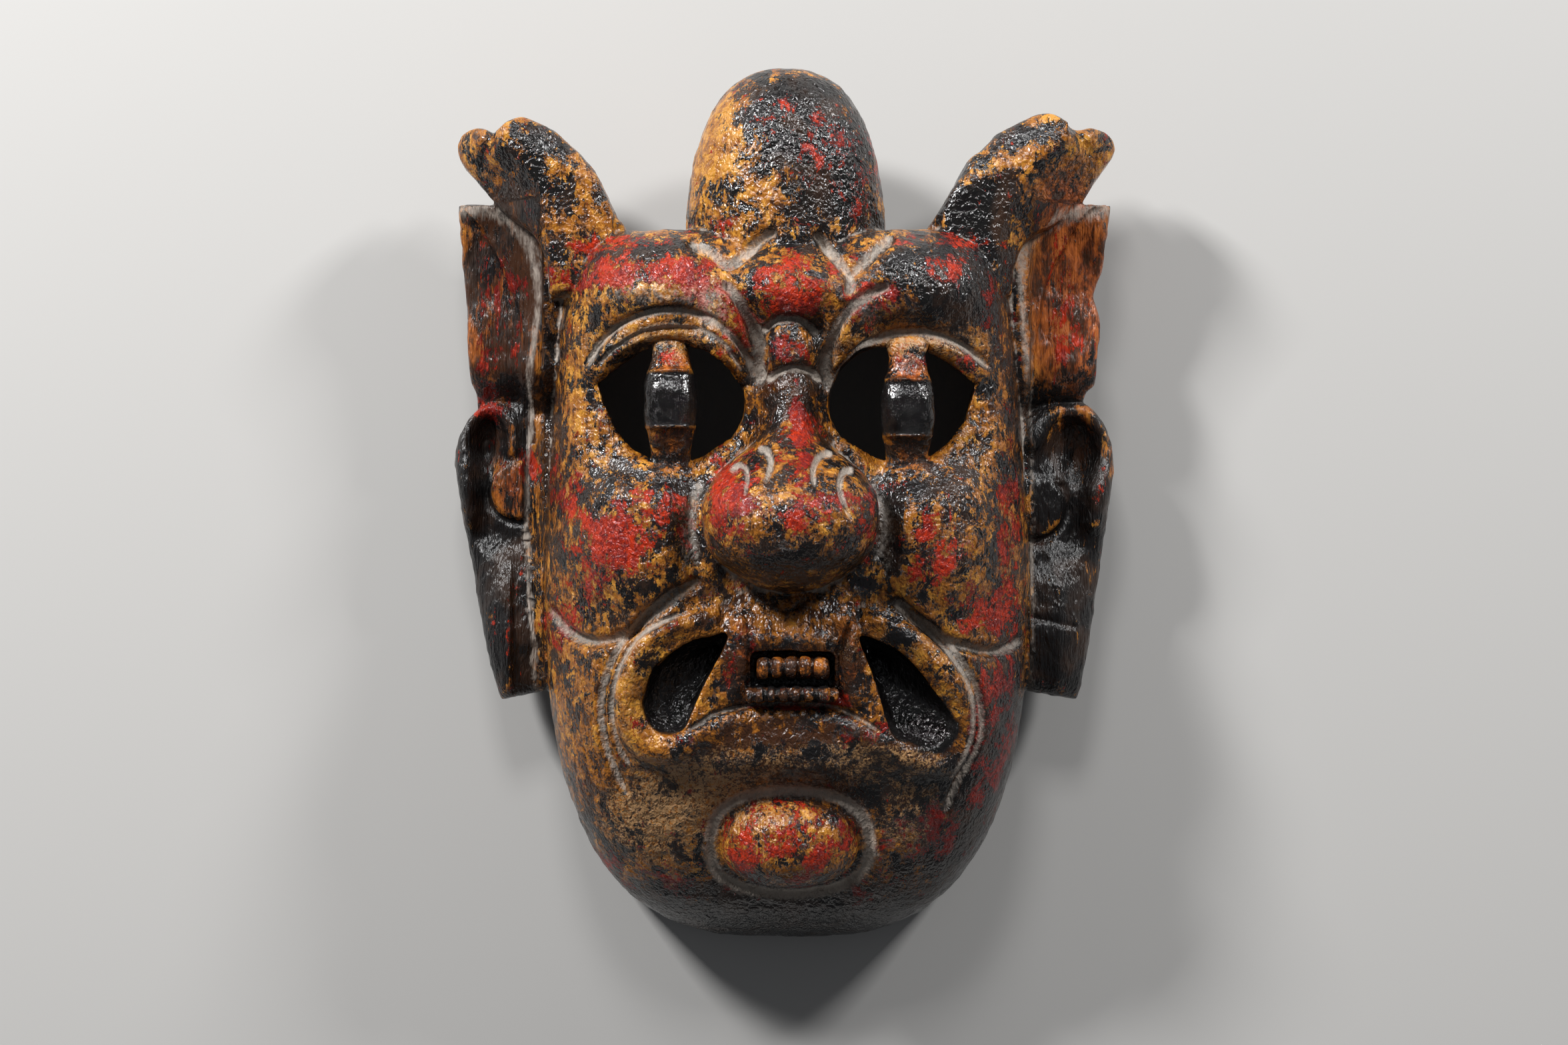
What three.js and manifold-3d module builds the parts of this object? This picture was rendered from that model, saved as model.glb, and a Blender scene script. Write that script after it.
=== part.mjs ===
// A carved wooden dance mask of a horned, bulb-nosed guardian, lying face up on its flat back rim.
// Millimetres, +Z out through the face, +Y towards the crown, origin under the middle of the outline.
// The mask is carved from one block, so it is one solid: a face block hollowed from behind and pierced at
// the eyes and mouth corners, with a top-knot, two horns, two crest flaps and two long ears growing from it.
import * as THREE from "three";
import { ParametricGeometry } from "three/addons/geometries/ParametricGeometry.js";
import { mergeVertices } from "three/addons/utils/BufferGeometryUtils.js";
import Module from "manifold-3d";

// The face block: its plan outline, its depth, and the walls left by the hollowing.
const FACE = {
  halfWidth: 112, // at the cheeks, the widest place
  middleY: -18, // height of the widest place
  crownY: 125.5, // the flat top edge
  crownReach: 147, // from middleY to where the square upper outline would end
  crownPower: 10, // squareness of the upper outline
  crownTaper: 0.09, // share of the width lost towards the crown
  crownRound: 12, // radius of the edge between forehead and crown
  chinReach: 182, // from middleY down to the chin
  chinPower: 2.8, // squareness of the jaw
  chinStart: -60, // where the front starts to roll back to the chin
  chinRoll: 2.2, // squareness of that roll
  depth: 98, // from the rim to the plain front
  browStart: 70, // where the forehead starts to fall back
  browFall: 14, // how far it has fallen back at the crown
  sectionPower: 4, // squareness of a level cross-section
  rimWall: 13, // wall round the open back
  frontWall: 17, // wall behind the plain front
};

// Soft mounds and dips of the front: place, half widths, height, squareness. A paired one is mirrored.
const RELIEF = [
  { name: "brow pillow", paired: true, x: 61, y: 103, wide: 40, tall: 18, rise: 15, power: 1.8 },
  { name: "brow end", paired: true, x: 28, y: 78, wide: 11, tall: 20, rise: 8, power: 1.3 },
  { name: "eye socket", paired: true, x: 51, y: 46, wide: 39, tall: 31, rise: -12, power: 1.6 },
  { name: "cheek", paired: true, x: 64, y: -13, wide: 37, tall: 31, rise: 13, power: 1.8 },
  { name: "side of the nose", paired: true, x: 42, y: -8, wide: 8, tall: 26, rise: -7, power: 1.2 },
  { name: "lip corner", paired: true, x: 60, y: -78, wide: 30, tall: 30, rise: 9, power: 1.5 },
  { name: "forehead swelling", paired: false, x: 0, y: 99, wide: 19, tall: 19, rise: 14, power: 1.6 },
  { name: "nose root", paired: false, x: 0, y: 70, wide: 12, tall: 10, rise: 11, power: 1.5 },
  { name: "bridge", paired: false, x: 0, y: 32, wide: 15, tall: 34, rise: 18, power: 1.3 },
  { name: "muzzle", paired: false, x: 0, y: -62, wide: 44, tall: 22, rise: 7, power: 1.4 },
  { name: "lower lip", paired: false, x: 0, y: -106, wide: 58, tall: 14, rise: 5, power: 1.4 },
  { name: "chin ring", paired: false, x: 0, y: -148, wide: 39, tall: 31, rise: -5, power: 2.2 },
];

// Round swellings that stand out too far to be part of the relief.
const NOSE = { x: 0, y: -4, z: 108, wide: 38.5, tall: 32, deep: 42 };
const CHIN_BOSS = { x: 0, y: -148, z: 71, wide: 30.5, tall: 22, deep: 24 };
const TOP_KNOT = { baseY: 112, topY: 200, z: 54, wide: 46, deep: 41, squareness: 2.5 };

// An eye hole is oval and drawn out to a point at its outer corner. The bar left standing in it carries
// the pupil at its broadest place.
const EYE = { x: 50, y: 47, wide: 31.5, tall: 27, cornerX: 85.5, cornerY: 57, cornerSpread: 0.58 };
const EYE_BAR = {
  x: 52.3, y: 47, frontZ: 88, bow: 14, thick: 11, halfLength: 34, neck: 7, belly: 10.8, bellyReach: 0.5,
  squareness: 4, endSquareness: 10,
};

// The mouth corners are leaf-shaped pockets, the right one larger. Each narrows inwards about the place
// where it breaks through to the hollow, so its floor slopes up to the outer, lower end.
const MOUTH_CORNERS = [
  {
    through: [-36, -69],
    outline: [[-26, -57], [-45, -59.5], [-59, -71], [-64, -88], [-57, -99], [-46, -98], [-36, -78]],
  },
  {
    through: [42, -71],
    outline: [[31.5, -56.5], [49, -62.5], [68, -84], [76, -97], [68, -108], [47, -99.5], [38, -73]],
  },
];
const POCKET_STATIONS = [
  { z: 150, size: 1 },
  { z: 99, size: 1 },
  { z: 82, size: 0.5 },
  { z: 60, size: 0.42 },
];

// The teeth stand in a shallow slot between the lips, in an upper and a lower row.
const TEETH_SLOT = { x: 3, y: -73.5, halfWidth: 17.5, halfHeight: 9.5, depth: 9 };
const TOOTH_ROWS = [
  { count: 5, y: -69.3, wide: 3.6, tall: 5.2, deep: 7 },
  { count: 6, y: -80.6, wide: 3.0, tall: 3.2, deep: 6 },
];

// Horn, flap and ear, given for the right-hand side and mirrored for the left.
const HORN = {
  route: [[90, 98, 46], [91, 118, 51], [96, 137, 55], [109, 151, 58], [124, 161, 58], [138, 165, 56],
    [150.5, 165.5, 53]],
  halfWidths: [18, 19.5, 20.5, 21.5, 19, 13, 9],
  halfDepths: [19, 20, 21, 20, 17, 13, 9],
  squareness: 3.2,
  endSquareness: 5,
  curl: { x: 117, y: 162, z: 58, wide: 17, tall: 16, deep: 20 },
};
const FLAP = {
  lowY: 33, innerHighY: 118, outerHighY: 139.5, innerX: 98, outerLowX: 141, outerHighX: 151,
  backZ: 16, grooveZ: 36, ridgeZ: 50, edgeZ: 42, ridgeLow: 0.35, ridgeHigh: 0.7,
};
const EAR = {
  lowY: -88, highY: 50, archFrom: 0.78, archX: 132, innerX: 98, lobeX: 137, outerX: 153.5, flare: 0.8,
  backZ: 14, frontZ: 38,
};

// The carving of an ear's front: how far out and how far up it is, its half sizes, all as shares of the
// ear's width and height, then its rise in millimetres and its squareness.
const EAR_RELIEF = [
  { name: "rim", out: 0.95, up: 0.75, wide: 0.16, tall: 0.32, rise: 8, power: 1.6 },
  { name: "bowl", out: 0.66, up: 0.74, wide: 0.2, tall: 0.16, rise: -12, power: 1.3 },
  { name: "lobe", out: 0.6, up: 0.22, wide: 0.3, tall: 0.24, rise: 6, power: 1.3 },
];
const PLATE_EDGE_POWER = 7; // squareness of the edges of a flap or ear

// How finely each surface is divided.
const GRID = {
  face: { arch: 40, base: 2, rows: 40 },
  hollow: { arch: 18, base: 2, rows: 18 },
  ball: { around: 24, down: 14 },
  knot: { around: 22, rows: 9 },
  horn: { around: 12, rows: 14 },
  lobe: { around: 12, down: 8 },
  plate: { across: 8, rows: 12 },
  eye: { arc: 20, bar: 8 },
  pocket: { around: 16 },
  tooth: { around: 6, down: 5 },
};

const FRONT_SHARE = 0.93; // share of the half width that counts as front rather than side wall
const FRONT_COLUMNS = 0.76; // share of the columns spent on that front
const EXTRA = 5; // how far a cutter runs past the stock
const MERGE = 1e-3; // vertices nearer than this are one

const wasm = await Module();
wasm.setup();

const { clamp, lerp } = THREE.MathUtils;
const unit = (value) => clamp(value, 0, 1);

// Height of a superellipse of the given squareness, at a share from -1 to 1 of its half width.
const superArc = (share, power) => (1 - unit(Math.abs(share)) ** power) ** (1 / power);

// A cosine or sine pushed out towards a square of the given squareness.
const squared = (value, power) => Math.sign(value) * Math.abs(value) ** (2 / power);

// A share from 0 to 1 whose even steps are gathered towards both ends.
const gathered = (share) => 0.5 - 0.5 * Math.cos(Math.PI * share);

// A soft-edged mound, 1 at its centre and falling away at one half width.
const mound = (across, along, power) => Math.exp(-((across * across + along * along) ** power));

// Half width of the face block at height y, drawn in by an inset.
function halfWidthAt(y, inset) {
  const up = y > FACE.middleY;
  const reach = (up ? FACE.crownReach : FACE.chinReach) - inset;
  const share = unit(Math.abs(y - FACE.middleY) / reach);
  const taper = up ? 1 - FACE.crownTaper * share : 1;
  return (FACE.halfWidth - inset) * taper * superArc(share, up ? FACE.crownPower : FACE.chinPower);
}

// Height of the plain front on the centre line, for a chin drawn in by an inset.
function spineAt(y, depth, inset) {
  const chinLength = FACE.chinStart - FACE.middleY + FACE.chinReach - inset;
  const roll = superArc(unit((FACE.chinStart - y) / chinLength), FACE.chinRoll);
  const browShare = unit((y - FACE.browStart) / (FACE.crownY - FACE.browStart));
  return depth * roll - FACE.browFall * browShare ** 2;
}

// What the carving adds to the plain front at (x, y).
function reliefAt(x, y) {
  let rise = 0;
  for (const r of RELIEF) {
    for (const side of r.paired ? [-1, 1] : [1]) {
      rise += r.rise * mound((x - side * r.x) / r.wide, (y - r.y) / r.tall, r.power);
    }
  }
  const overEdge = unit((y - FACE.crownY + FACE.crownRound) / FACE.crownRound);
  return rise - FACE.crownRound * (1 - Math.sqrt(1 - overEdge ** 2));
}

// Share of the half width at which a column of the arch stands: evenly spaced over the front, and evenly
// spaced in height down each side wall.
function archShare(across) {
  const size = Math.abs(across);
  if (size <= FRONT_COLUMNS) return (across / FRONT_COLUMNS) * FRONT_SHARE;
  const wallTop = superArc(FRONT_SHARE, FACE.sectionPower);
  const wallHeight = (wallTop * (1 - size)) / (1 - FRONT_COLUMNS);
  return Math.sign(across) * superArc(wallHeight, FACE.sectionPower);
}

// A loaf lying on its flat base: each row runs over an arch from side to side and back along the base.
function loaf({ arch, base, rows }, inset, depth, carved) {
  const lowY = FACE.middleY - FACE.chinReach + inset;
  const highY = FACE.middleY + FACE.crownReach - inset;
  const surface = (u, v, target) => {
    const y = lerp(lowY, highY, gathered(v));
    const half = halfWidthAt(y, inset);
    const column = Math.round(u * (arch + base));
    if (column > arch) {
      target.set(half * lerp(-1, 1, (column - arch) / base), y, 0);
      return;
    }
    const share = archShare(1 - (2 * column) / arch);
    const height = superArc(share, FACE.sectionPower);
    const relief = carved ? reliefAt(share * half, y) * height ** 2 : 0;
    target.set(share * half, y, Math.max(0, height * spineAt(y, depth, inset) + relief));
  };
  return solid(new ParametricGeometry(surface, arch + base, rows));
}

// A closed three.js geometry as a solid with its faces outwards.
function solid(geometry) {
  const bare = geometry.index ? geometry.toNonIndexed() : geometry.clone();
  bare.deleteAttribute("normal");
  bare.deleteAttribute("uv");
  const merged = mergeVertices(bare, MERGE);
  const vertProperties = merged.getAttribute("position").array;
  const triVerts = new Uint32Array(merged.index.array);
  const asGiven = new wasm.Manifold(new wasm.Mesh({ numProp: 3, vertProperties, triVerts }));
  if (asGiven.volume() > 0) return asGiven;
  return new wasm.Manifold(new wasm.Mesh({ numProp: 3, vertProperties, triVerts: triVerts.reverse() }));
}

// A surface over (u, v) whose two side edges are one seam.
function tube(surface, around, rows) {
  return solid(new ParametricGeometry((u, v, target) => surface(u === 1 ? 0 : u, v, target), around, rows));
}

// An ellipsoid of the given half sizes.
function ball({ x, y, z, wide, tall, deep }, { around, down }) {
  return solid(new THREE.SphereGeometry(1, around, down).scale(wide, tall, deep).translate(x, y, z));
}

// The top-knot: a dome turned about its upright axis, then flattened from front to back.
function topKnot() {
  const { baseY, topY, z, wide, deep, squareness } = TOP_KNOT;
  const { around, rows } = GRID.knot;
  const profile = [new THREE.Vector2(0, baseY)];
  for (let i = 0; i < rows; i++) {
    const share = Math.sin(((Math.PI / 2) * i) / rows);
    profile.push(new THREE.Vector2(superArc(share, squareness), lerp(baseY, topY, share)));
  }
  profile.push(new THREE.Vector2(0, topY));
  return solid(new THREE.LatheGeometry(profile, around).scale(wide, 1, deep).translate(0, 0, z));
}

// The value at a share from 0 to 1 along an evenly spaced list.
function along(values, share) {
  const at = share * (values.length - 1);
  const i = Math.min(values.length - 2, Math.floor(at));
  return lerp(values[i], values[i + 1], at - i);
}

// A horn: squared sections swept along its route, rounded off at both ends, with a curl on its back.
function horn(side) {
  const { route, halfWidths, halfDepths, squareness, endSquareness } = HORN;
  const line = new THREE.CatmullRomCurve3(route.map(([x, y, z]) => new THREE.Vector3(side * x, y, z)));
  const surface = (u, v, target) => {
    const heading = line.getTangent(v);
    const outward = new THREE.Vector3(heading.y, -heading.x, 0).normalize();
    const front = new THREE.Vector3().crossVectors(outward, heading).normalize();
    const close = superArc(2 * v - 1, endSquareness);
    const angle = 2 * Math.PI * u;
    target.copy(line.getPoint(v));
    target.addScaledVector(outward, squared(Math.cos(angle), squareness) * along(halfWidths, v) * close);
    target.addScaledVector(front, squared(Math.sin(angle), squareness) * along(halfDepths, v) * close);
  };
  const { curl } = HORN;
  return tube(surface, GRID.horn.around, GRID.horn.rows).add(ball({ ...curl, x: side * curl.x }, GRID.lobe));
}

// A plate with a plain back and a carved front. outline and frontAt take the share outwards and upwards.
function plate(side, backZ, outline, frontAt) {
  const { across, rows } = GRID.plate;
  const surface = (u, v, target) => {
    const isBack = u > 0.5;
    const out = gathered(isBack ? 2 - 2 * u : 2 * u);
    const up = gathered(v);
    const [x, y] = outline(out, up);
    const edge = superArc(2 * out - 1, PLATE_EDGE_POWER) * superArc(2 * up - 1, PLATE_EDGE_POWER);
    const front = frontAt(out, up);
    const middle = (front + backZ) / 2;
    target.set(side * x, y, lerp(middle, isBack ? backZ : front, edge));
  };
  return tube(surface, 2 * across, rows);
}

// The crest flap behind the temple: a gutter beside the face, a ridge, and a flat outer panel.
function flap(side) {
  const f = FLAP;
  const outline = (out, v) => [
    lerp(f.innerX, lerp(f.outerLowX, f.outerHighX, v), out),
    lerp(f.lowY, lerp(f.innerHighY, f.outerHighY, Math.sin((Math.PI / 2) * out)), v),
  ];
  const frontAt = (out, v) => {
    const ridge = lerp(f.ridgeLow, f.ridgeHigh, v * v);
    if (out < ridge) return lerp(f.grooveZ, f.ridgeZ, (out / ridge) ** 2);
    return lerp(f.ridgeZ, f.edgeZ, (out - ridge) / (1 - ridge));
  };
  return plate(side, f.backZ, outline, frontAt);
}

// The long ear: an arched top with a rolled rim round a bowl, and a thick hanging lobe below.
function ear(side) {
  const e = EAR;
  const outline = (out, v) => {
    const arch = superArc(Math.max(0, v - e.archFrom) / (1 - e.archFrom), 2);
    const inner = lerp(e.archX, e.innerX, arch);
    const widest = lerp(e.lobeX, e.outerX, unit(v / e.archFrom) ** e.flare);
    const outer = lerp(e.archX, widest, arch);
    return [lerp(inner, outer, out), lerp(e.lowY, e.highY, v)];
  };
  const frontAt = (out, v) => {
    let height = e.frontZ;
    for (const r of EAR_RELIEF) {
      height += r.rise * mound((out - r.out) / r.wide, (v - r.up) / r.tall, r.power);
    }
    return height;
  };
  return plate(side, e.backZ, outline, frontAt);
}

// The cutter for an eye hole, straight through the front.
function eyeHole(side) {
  const e = EYE;
  const toCorner = Math.atan2(e.cornerY - e.y, e.cornerX - e.x);
  const outline = new THREE.Shape([new THREE.Vector2(e.cornerX, e.cornerY)]);
  for (let i = 0; i <= GRID.eye.arc; i++) {
    const angle = toCorner + lerp(e.cornerSpread, 2 * Math.PI - e.cornerSpread, i / GRID.eye.arc);
    outline.lineTo(e.x + e.wide * Math.cos(angle), e.y + e.tall * Math.sin(angle));
  }
  const cutter = new THREE.ExtrudeGeometry(outline, { depth: 2 * FACE.depth, bevelEnabled: false });
  return solid(cutter.scale(side, 1, 1));
}

// The bar in an eye hole: it bows forwards and is broadest at the pupil.
function eyeBar(side) {
  const b = EYE_BAR;
  const surface = (u, v, target) => {
    const share = 2 * v - 1;
    const angle = 2 * Math.PI * u;
    const close = superArc(share, b.endSquareness);
    const half = lerp(b.neck, b.belly, mound(share / b.bellyReach, 0, 1.3)) * close;
    const middle = b.frontZ + b.bow * (1 - share * share) - b.thick / 2;
    target.set(
      side * b.x + squared(Math.cos(angle), b.squareness) * half,
      b.y + share * b.halfLength,
      middle + squared(Math.sin(angle), b.squareness) * (b.thick / 2) * close,
    );
  };
  return tube(surface, GRID.eye.bar, GRID.eye.bar);
}

// The cutter for a mouth corner: its outline at each station, drawn in about the way through, closed at
// both ends.
function mouthCorner({ through, outline }) {
  const rim = new THREE.CatmullRomCurve3(outline.map(([x, y]) => new THREE.Vector3(x, y, 0)), true);
  const centre = new THREE.Vector3(...through, 0);
  const rows = POCKET_STATIONS.length + 1;
  const surface = (u, v, target) => {
    const row = Math.round(v * rows);
    const { z, size } = POCKET_STATIONS[clamp(row - 1, 0, rows - 2)];
    const capped = row === 0 || row === rows;
    target.lerpVectors(centre, rim.getPointAt(u), capped ? 0 : size);
    target.z = z;
  };
  return tube(surface, GRID.pocket.around, rows);
}

// Cuts the slot between the lips and sets both rows of teeth in it.
function withTeeth(block) {
  const t = TEETH_SLOT;
  const floor = FACE.depth - t.depth;
  const size = [2 * t.halfWidth, 2 * t.halfHeight, FACE.depth];
  const slot = new THREE.BoxGeometry(...size).translate(t.x, t.y, floor + FACE.depth / 2);
  let made = block.subtract(solid(slot));
  for (const { count, y, wide, tall, deep } of TOOTH_ROWS) {
    for (let i = 0; i < count; i++) {
      const x = t.x + t.halfWidth * (((2 * i + 1) / count) - 1);
      made = made.add(ball({ x, y, z: floor, wide, tall, deep }, GRID.tooth));
    }
  }
  return made;
}

// The stock that the face block is kept to: it ends square at the crown.
function stock() {
  const size = 2 * FACE.chinReach + 4 * EXTRA;
  const block = new THREE.BoxGeometry(size, size, size);
  return solid(block.translate(0, FACE.crownY - size / 2, size / 2 - EXTRA));
}

function build() {
  let block = loaf(GRID.face, 0, FACE.depth, true).intersect(stock());
  block = block.add(ball(NOSE, GRID.ball)).add(ball(CHIN_BOSS, GRID.ball)).add(topKnot());
  for (const side of [-1, 1]) block = block.add(horn(side)).add(flap(side)).add(ear(side));
  block = block.subtract(loaf(GRID.hollow, FACE.rimWall, FACE.depth - FACE.frontWall, false));
  for (const side of [-1, 1]) block = block.subtract(eyeHole(side)).add(eyeBar(side));
  for (const corner of MOUTH_CORNERS) block = block.subtract(mouthCorner(corner));
  return withTeeth(block);
}

function geometryOf(made) {
  const { numProp, numVert, vertProperties, triVerts } = made.getMesh();
  const position = new THREE.Float32BufferAttribute(numVert * 3, 3);
  for (let i = 0; i < numVert; i++) {
    position.setXYZ(i, ...vertProperties.subarray(i * numProp, i * numProp + 3));
  }
  const geometry = new THREE.BufferGeometry().setAttribute("position", position);
  geometry.setIndex(new THREE.BufferAttribute(triVerts, 1));
  geometry.computeVertexNormals();
  return geometry;
}

const wood = new THREE.MeshStandardMaterial({ color: 0x6b3a1e, roughness: 0.4, metalness: 0 });
const mask = new THREE.Mesh(geometryOf(build()), wood);
mask.name = "mask";

const model = new THREE.Group();
model.add(mask);
export default model;
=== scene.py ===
"""A carved wooden dance mask of a horned, bulb-nosed guardian, lying face up on its flat back rim.

The mask is carved from one block, so it is one piece. Each part of it (face block, nose, top-knot, horns,
crest flaps, ears, eye bars, teeth) is a closed surface worked out over two parameters. The parts are joined,
the hollow and the openings are cut out of them, and the grooves and tool marks are then pressed into the
skin. The paint is worked out last, as amounts of each layer over the surface.

Sizes are in mask millimetres: 400 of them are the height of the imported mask. +X is to the right of someone
who faces the mask, +Y runs from chin to crown, and +Z comes out of the hollow through the nose.
"""

import logging
import math
from dataclasses import dataclass, field
from enum import Enum
from typing import Callable, Sequence

import bpy
import numpy as np
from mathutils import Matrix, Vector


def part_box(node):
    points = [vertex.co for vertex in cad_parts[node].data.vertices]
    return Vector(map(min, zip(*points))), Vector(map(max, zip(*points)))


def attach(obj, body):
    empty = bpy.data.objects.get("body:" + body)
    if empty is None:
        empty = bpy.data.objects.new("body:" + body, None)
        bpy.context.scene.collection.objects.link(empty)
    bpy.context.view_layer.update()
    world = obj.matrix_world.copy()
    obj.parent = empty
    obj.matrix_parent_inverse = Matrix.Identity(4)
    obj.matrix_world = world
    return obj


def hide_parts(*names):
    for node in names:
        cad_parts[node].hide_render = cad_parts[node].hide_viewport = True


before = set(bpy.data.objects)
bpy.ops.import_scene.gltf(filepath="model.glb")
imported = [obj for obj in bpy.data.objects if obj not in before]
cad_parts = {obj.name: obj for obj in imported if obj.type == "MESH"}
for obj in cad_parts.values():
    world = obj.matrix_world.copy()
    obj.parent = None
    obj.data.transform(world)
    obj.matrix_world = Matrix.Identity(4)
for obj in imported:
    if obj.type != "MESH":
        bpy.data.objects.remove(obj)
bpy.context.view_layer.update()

LOG = logging.getLogger("mask")
Array = np.ndarray
Point = tuple[float, float]

NODE = "mask"
MASK_HEIGHT = 400.0  # mask millimetres from chin to crown


# ---------------------------------------------------------------------------------------------- curves


def super_arc(share: Array, power: float) -> Array:
    """Height of a superellipse: (1 - |share| ** power) ** (1 / power).

    Args:
        share: distance from the middle, as a share of the half width.
        power: squareness; 2 is an ellipse.

    Returns:
        The height, 1 in the middle and 0 from share 1 outwards.
    """
    return (1.0 - np.clip(np.abs(share), 0.0, 1.0) ** power) ** (1.0 / power)


def squared(value: Array, power: float) -> Array:
    """A cosine or sine pushed out towards a square: sign(value) * |value| ** (2 / power)."""
    return np.sign(value) * np.abs(value) ** (2.0 / power)


def mound(across: Array, along: Array, power: float) -> Array:
    """A soft-edged mound: exp(-(across ** 2 + along ** 2) ** power), 1 in the middle."""
    return np.exp(-((across**2 + along**2) ** power))


def ease(low: float, high: float, value: Array) -> Array:
    """A smooth step from 0 at low to 1 at high: 3 t ** 2 - 2 t ** 3."""
    t = np.clip((value - low) / (high - low), 0.0, 1.0)
    return t * t * (3.0 - 2.0 * t)


def gathered(count: int) -> Array:
    """count + 1 shares from 0 to 1, gathered towards both ends as half a cosine wave."""
    return 0.5 - 0.5 * np.cos(np.pi * np.arange(count + 1) / count)


def smooth_line(points: Sequence[Sequence[float]], steps: int, closed: bool = False) -> Array:
    """A Catmull-Rom curve through a few points.

    Args:
        points: the points that it passes through, of any dimension.
        steps: how many pieces each stretch between two points is cut into.
        closed: whether the last point leads back to the first.

    Returns:
        The points of the curve, one row each. A closed curve doesn't repeat its first point.
    """
    p = np.asarray(points, dtype=float)
    if closed:
        p = np.vstack([p[-1:], p, p[:2]])
    else:
        p = np.vstack([2 * p[0] - p[1], p, 2 * p[-1] - p[-2]])
    t = (np.arange(steps) / steps)[:, None, None]
    a, b, c, d = p[None, :-3], p[None, 1:-2], p[None, 2:-1], p[None, 3:]
    curve = 0.5 * (2 * b + (c - a) * t + (2 * a - 5 * b + 4 * c - d) * t**2 + (3 * b - a - 3 * c + d) * t**3)
    line = curve.transpose(1, 0, 2).reshape(-1, p.shape[1])
    return line if closed else np.vstack([line, p[-2]])


def even_line(line: Array, count: int) -> Array:
    """A line cut again at count points that are evenly spaced along its length.

    Args:
        line: the points of the line, one row each.
        count: how many points to return.

    Returns:
        The new points, from the first end to the last.
    """
    length = np.concatenate([[0.0], np.cumsum(np.linalg.norm(np.diff(line, axis=0), axis=1))])
    at = np.linspace(0.0, length[-1], count)
    return np.stack([np.interp(at, length, line[:, k]) for k in range(line.shape[1])], axis=1)


def near_line(x: Array, y: Array, line: Array) -> tuple[Array, Array]:
    """Distance to a line in the plane, and how far along it the nearest place is.

    Args:
        x: across position of each point.
        y: upright position of each point.
        line: the points of the line, one row each.

    Returns:
        The distance, and the share from 0 to 1 along the line.
    """
    best = np.full(x.shape, np.inf)
    share = np.zeros(x.shape)
    pieces = len(line) - 1
    for i in range(pieces):
        start, way = line[i], line[i + 1] - line[i]
        t = np.clip(((x - start[0]) * way[0] + (y - start[1]) * way[1]) / max(way @ way, 1e-9), 0.0, 1.0)
        away = np.hypot(x - start[0] - t * way[0], y - start[1] - t * way[1])
        nearer = away < best
        best = np.where(nearer, away, best)
        share = np.where(nearer, (i + t) / pieces, share)
    return best, share


def lattice_noise(points: Array, cell: float, seed: int) -> Array:
    """Smooth seeded noise: random values on a cubic lattice, blended by an eased step on each axis.

    Args:
        points: positions, one row each.
        cell: size of a lattice cell.
        seed: number that the random values follow from.

    Returns:
        One value from -1 to 1 for each point.
    """
    side = 64
    table = np.random.default_rng(seed).uniform(-1.0, 1.0, (side, side, side))
    at = points / cell
    low = np.floor(at).astype(int)
    t = at - low
    t = t * t * (3.0 - 2.0 * t)
    total = np.zeros(len(points))
    for corner in range(8):
        step = np.array([corner & 1, corner >> 1 & 1, corner >> 2 & 1])
        weight = np.prod(np.where(step == 1, t, 1.0 - t), axis=1)
        i = (low + step) % side
        total += weight * table[i[:, 0], i[:, 1], i[:, 2]]
    return total


# ------------------------------------------------------------------------------------ swellings and grooves


@dataclass(frozen=True)
class Mound:
    """A soft swelling or dip: rise * exp(-(distance in half widths) ** (2 * power)), turned by an angle."""

    x: float
    y: float
    wide: float
    tall: float
    rise: float
    power: float = 1.5
    turn: float = 0.0

    def height(self, x: Array, y: Array) -> Array:
        """Height that the mound adds at each place."""
        cos, sin = math.cos(math.radians(self.turn)), math.sin(math.radians(self.turn))
        dx, dy = x - self.x, y - self.y
        return self.rise * mound((dx * cos + dy * sin) / self.wide, (dy * cos - dx * sin) / self.tall, self.power)


def pair(x: float, y: float, wide: float, tall: float, rise: float, power: float = 1.5, turn: float = 0.0) -> tuple[Mound, Mound]:
    """The same mound on the right and, mirrored, on the left."""
    return Mound(x, y, wide, tall, rise, power, turn), Mound(-x, y, wide, tall, rise, power, -turn)


@dataclass(frozen=True)
class Stroke:
    """A groove or a ridge along a curve: rise * exp(-(distance / width) ** power), fading out at its ends.

    A negative rise is a groove. dust is how much pale dust lies in it, and spread how far the dust reaches,
    as a multiple of the width. taper is the share of the width lost from the first end to the last.
    """

    points: tuple[Point, ...]
    width: float
    rise: float
    dust: float = 0.0
    spread: float = 1.0
    fade: float = 0.08
    power: float = 2.6
    taper: float = 0.0

    def profile(self, x: Array, y: Array) -> tuple[Array, Array]:
        """Height and dust that the stroke adds at each place.

        Args:
            x: across position of each point.
            y: upright position of each point.

        Returns:
            The height, and the dust from 0 to 1.
        """
        reach = 4.0 * self.width * self.spread
        line = smooth_line(self.points, 8)
        near = (x > line[:, 0].min() - reach) & (x < line[:, 0].max() + reach)
        near &= (y > line[:, 1].min() - reach) & (y < line[:, 1].max() + reach)
        height, dust = np.zeros(x.shape), np.zeros(x.shape)
        away, share = near_line(x[near], y[near], line)
        ends = np.clip(np.minimum(share, 1.0 - share) / self.fade, 0.0, 1.0) ** 0.5
        away = away / (self.width * (1.0 - self.taper * share))
        height[near] = self.rise * np.exp(-(away**self.power)) * ends
        dust[near] = self.dust * np.exp(-((away / self.spread) ** 2.2)) * ends
        return height, dust


# ------------------------------------------------------------------------------------------- mesh workshop


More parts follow.
